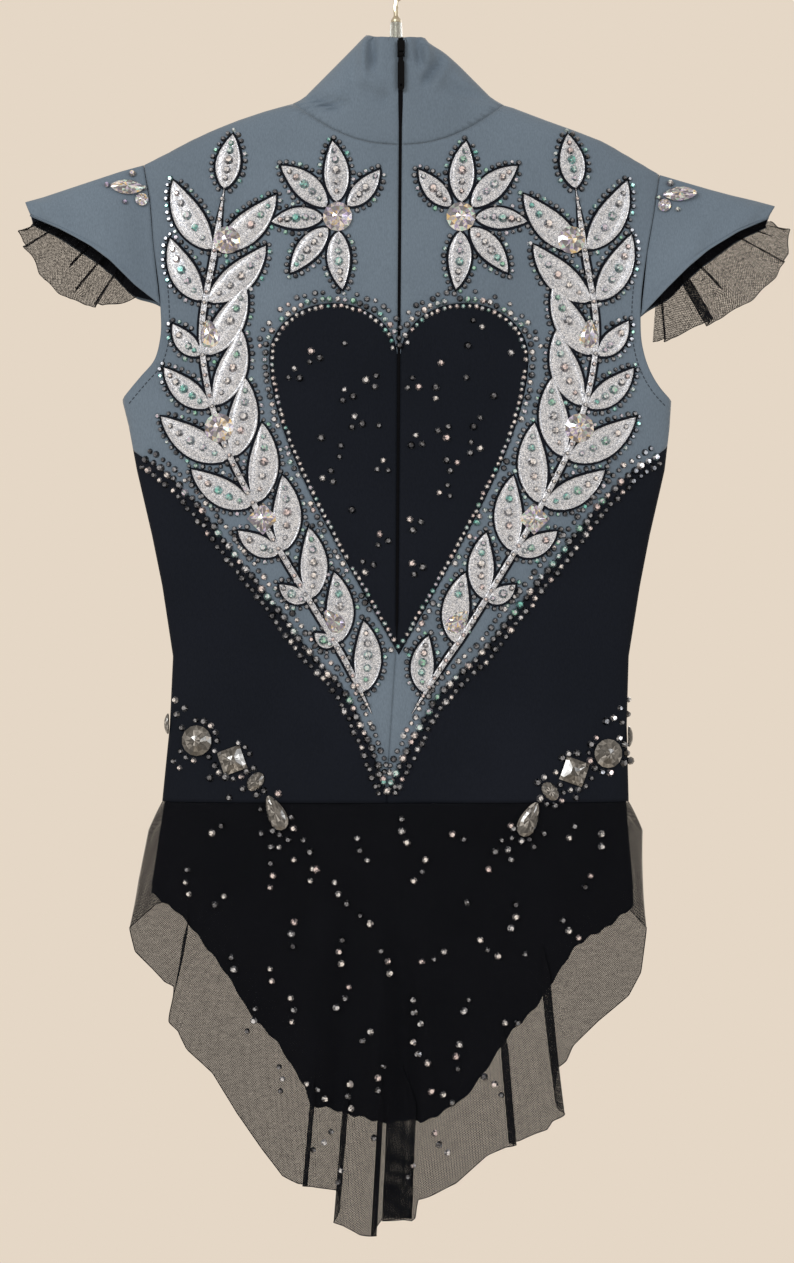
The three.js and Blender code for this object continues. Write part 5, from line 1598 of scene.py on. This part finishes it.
# Rows along the heart's edge, the last one round its lobe only: small bright stones on the
# black, larger dark ones on the grey. Offset, spacing, sizes, kinds, wander, points of the edge.
HEART_ROWS = [
    (-1.9, 4.0, (3.2, 2.8, 3.4), ("clear", "clear", "aurora"), 0.25, None),
    (2.6, 4.7, (4.6, 4.0, 4.3), ("dark", "dark", "aurora", "clear"), 0.3, None),
    (7.2, 5.6, (3.4, 4.2), ("dark", "clear", "dark"), 0.7, 34),
]
for side, sign in SIDES:
    path = SEAMS["back"][f"heart_{side}"][3:-1]
    for offset, spacing, sizes, kinds, wander, end in HEART_ROWS:
        stone_row(path[:end], offset * sign, spacing, sizes, kinds, wander, 0, free)

# Small stones round each belt stone, and a loose trail above and below the belt's ends.
BELT_TRAIL = [
    (-9, 12), (-4, 15), (-13, 17), (-8, 21), (-14, 26), (1, 13), (-15, -12), (-11, -16),
    (66, -60), (70, -67), (60, -72), (40, -56), (46, -64), (74, -78), (20, -34), (8, -22),
]
BELT_HEIGHT, BELT_SPACING, BELT_OUT, BELT_SHARE = -500, 5.2, 3, 0.74
for name, cut, across, height, width, length, turn in STONES:
    if not name.startswith("belt"):
        continue
    angle = math.radians(turn)
    around = 2 * math.pi * np.arange(60) / 60
    reach = 1.12 if cut == "square" else 1.0
    x = (width / 2 * reach + BELT_OUT) * np.cos(around)
    y = (length / 2 * reach + BELT_OUT) * np.sin(around)
    ring = np.stack([across + x * math.cos(angle) - y * math.sin(angle),
                     height + x * math.sin(angle) + y * math.cos(angle)], 1)
    for i, (x, z) in enumerate(curve_points(ring, BELT_SPACING)):
        size = float(rng.choice([3.8, 4.4, 5.0]))
        if rng.uniform() < BELT_SHARE and free(x, z, size):
            sprinkle(("dark", "dark", "clear")[i % 3], x, z, size)
for start, sign in ((-123, 1), (131, -1)):
    for i, (x, z) in enumerate(BELT_TRAIL):
        spot = (start + sign * x, BELT_HEIGHT + z, float(rng.choice([3.8, 4.6, 5.2])))
        if free(*spot):
            sprinkle(("dark", "clear", "dark")[i % 3], *spot)


def crowded(placed, across, height, gap, squeeze=1.0):
    return any(math.hypot(across - x, squeeze * (height - z)) < gap for x, z in placed)


# Loose clusters in the heart.
HEART_CLUSTERS, HEART_CLUSTER_GAP, HEART_CLEAR = 30, 16, 9
CLUSTER_REACH = 3.9
heart_edges = [SEAMS["back"][f"heart_{side}"] for side, _ in SIDES]
heart_outline = np.concatenate([heart_edges[0], heart_edges[1][::-1]])
placed = []
while len(placed) < HEART_CLUSTERS:
    across, height = rng.uniform(-72, 76), rng.uniform(-425, -238)
    if not inside(across, height, heart_outline) or abs(across - 1.5) <= 6:
        continue
    if distance_to(heart_edges, across, height) < HEART_CLEAR:
        continue
    if crowded(placed, across, height, HEART_CLUSTER_GAP):
        continue
    placed.append((across, height))
    heading = rng.uniform(0, 2 * math.pi)
    for i in range(int(rng.choice([1, 2, 3, 3]))):
        turn = heading + i * 2.1
        x, z = across + CLUSTER_REACH * math.cos(turn), height + CLUSTER_REACH * math.sin(turn)
        sprinkle(("dark", "clear", "dark")[(i + len(placed)) % 3], x, z,
                 float(rng.choice([3.8, 4.4, 5.0])))

# Short slanting rows of stones on the skirt.
SKIRT_CLUSTERS, SKIRT_CLUSTER_GAP, SKIRT_SQUEEZE, SKIRT_SPACING = 47, 19.5, 0.8, 7.4
LEFT_HEM = NET_BACK_HEM[:20]
placed = []
while len(placed) < SKIRT_CLUSTERS:
    across, height = rng.uniform(-150, 145), rng.uniform(-785, -552)
    low = float(np.interp(across, column(LEFT_HEM, 1), column(LEFT_HEM, 2)))
    left, right = read(NET_SIDES, height)
    if not left + 8 < across < right - 8 or height < low + 14:
        continue
    if abs(across + 5) > 150 - 0.5 * (FOLD_START - height):
        continue
    if crowded(placed, across, height, SKIRT_CLUSTER_GAP, SKIRT_SQUEEZE):
        continue
    placed.append((across, height))
    heading = math.radians(rng.normal(95, 36))
    ahead = np.array([math.cos(heading), math.sin(heading)])
    aside = np.array([ahead[1], -ahead[0]]) * rng.choice([-1.6, 1.6])
    count = int(rng.choice([1, 2, 3, 3, 3]))
    for i in range(count):
        shift = (i - (count - 1) / 2) * SKIRT_SPACING * ahead + (i % 2) * aside
        x, z = np.array([across, height]) + shift
        kind = ("clear", "dark", "clear", "clear", "dark")[(i + len(placed)) % 5]
        sprinkle(kind, float(x), float(z), float(rng.choice([3.8, 4.4, 4.8])))

for kind, look, slot in (("clear", CLEAR, "clear_stone"), ("aurora", AURORA, "clear_stone"),
                         ("dark", DARK, "dark_stone")):
    across, height, sizes, lift = np.array(crystals[kind], float).T
    set_gems(f"crystals_{kind}", look, slot, back_frame(across, height), sizes, lift)

# ---------------------------------------------------------------- parts kept from the frame


for node, look in (("hanger_body", PLASTIC), ("hanger_hook", STEEL), ("zip_slider", ZIP),
                   ("zip_tab", ZIP)):
    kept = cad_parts[node].data.materials
    kept.clear()
    kept.append(look)
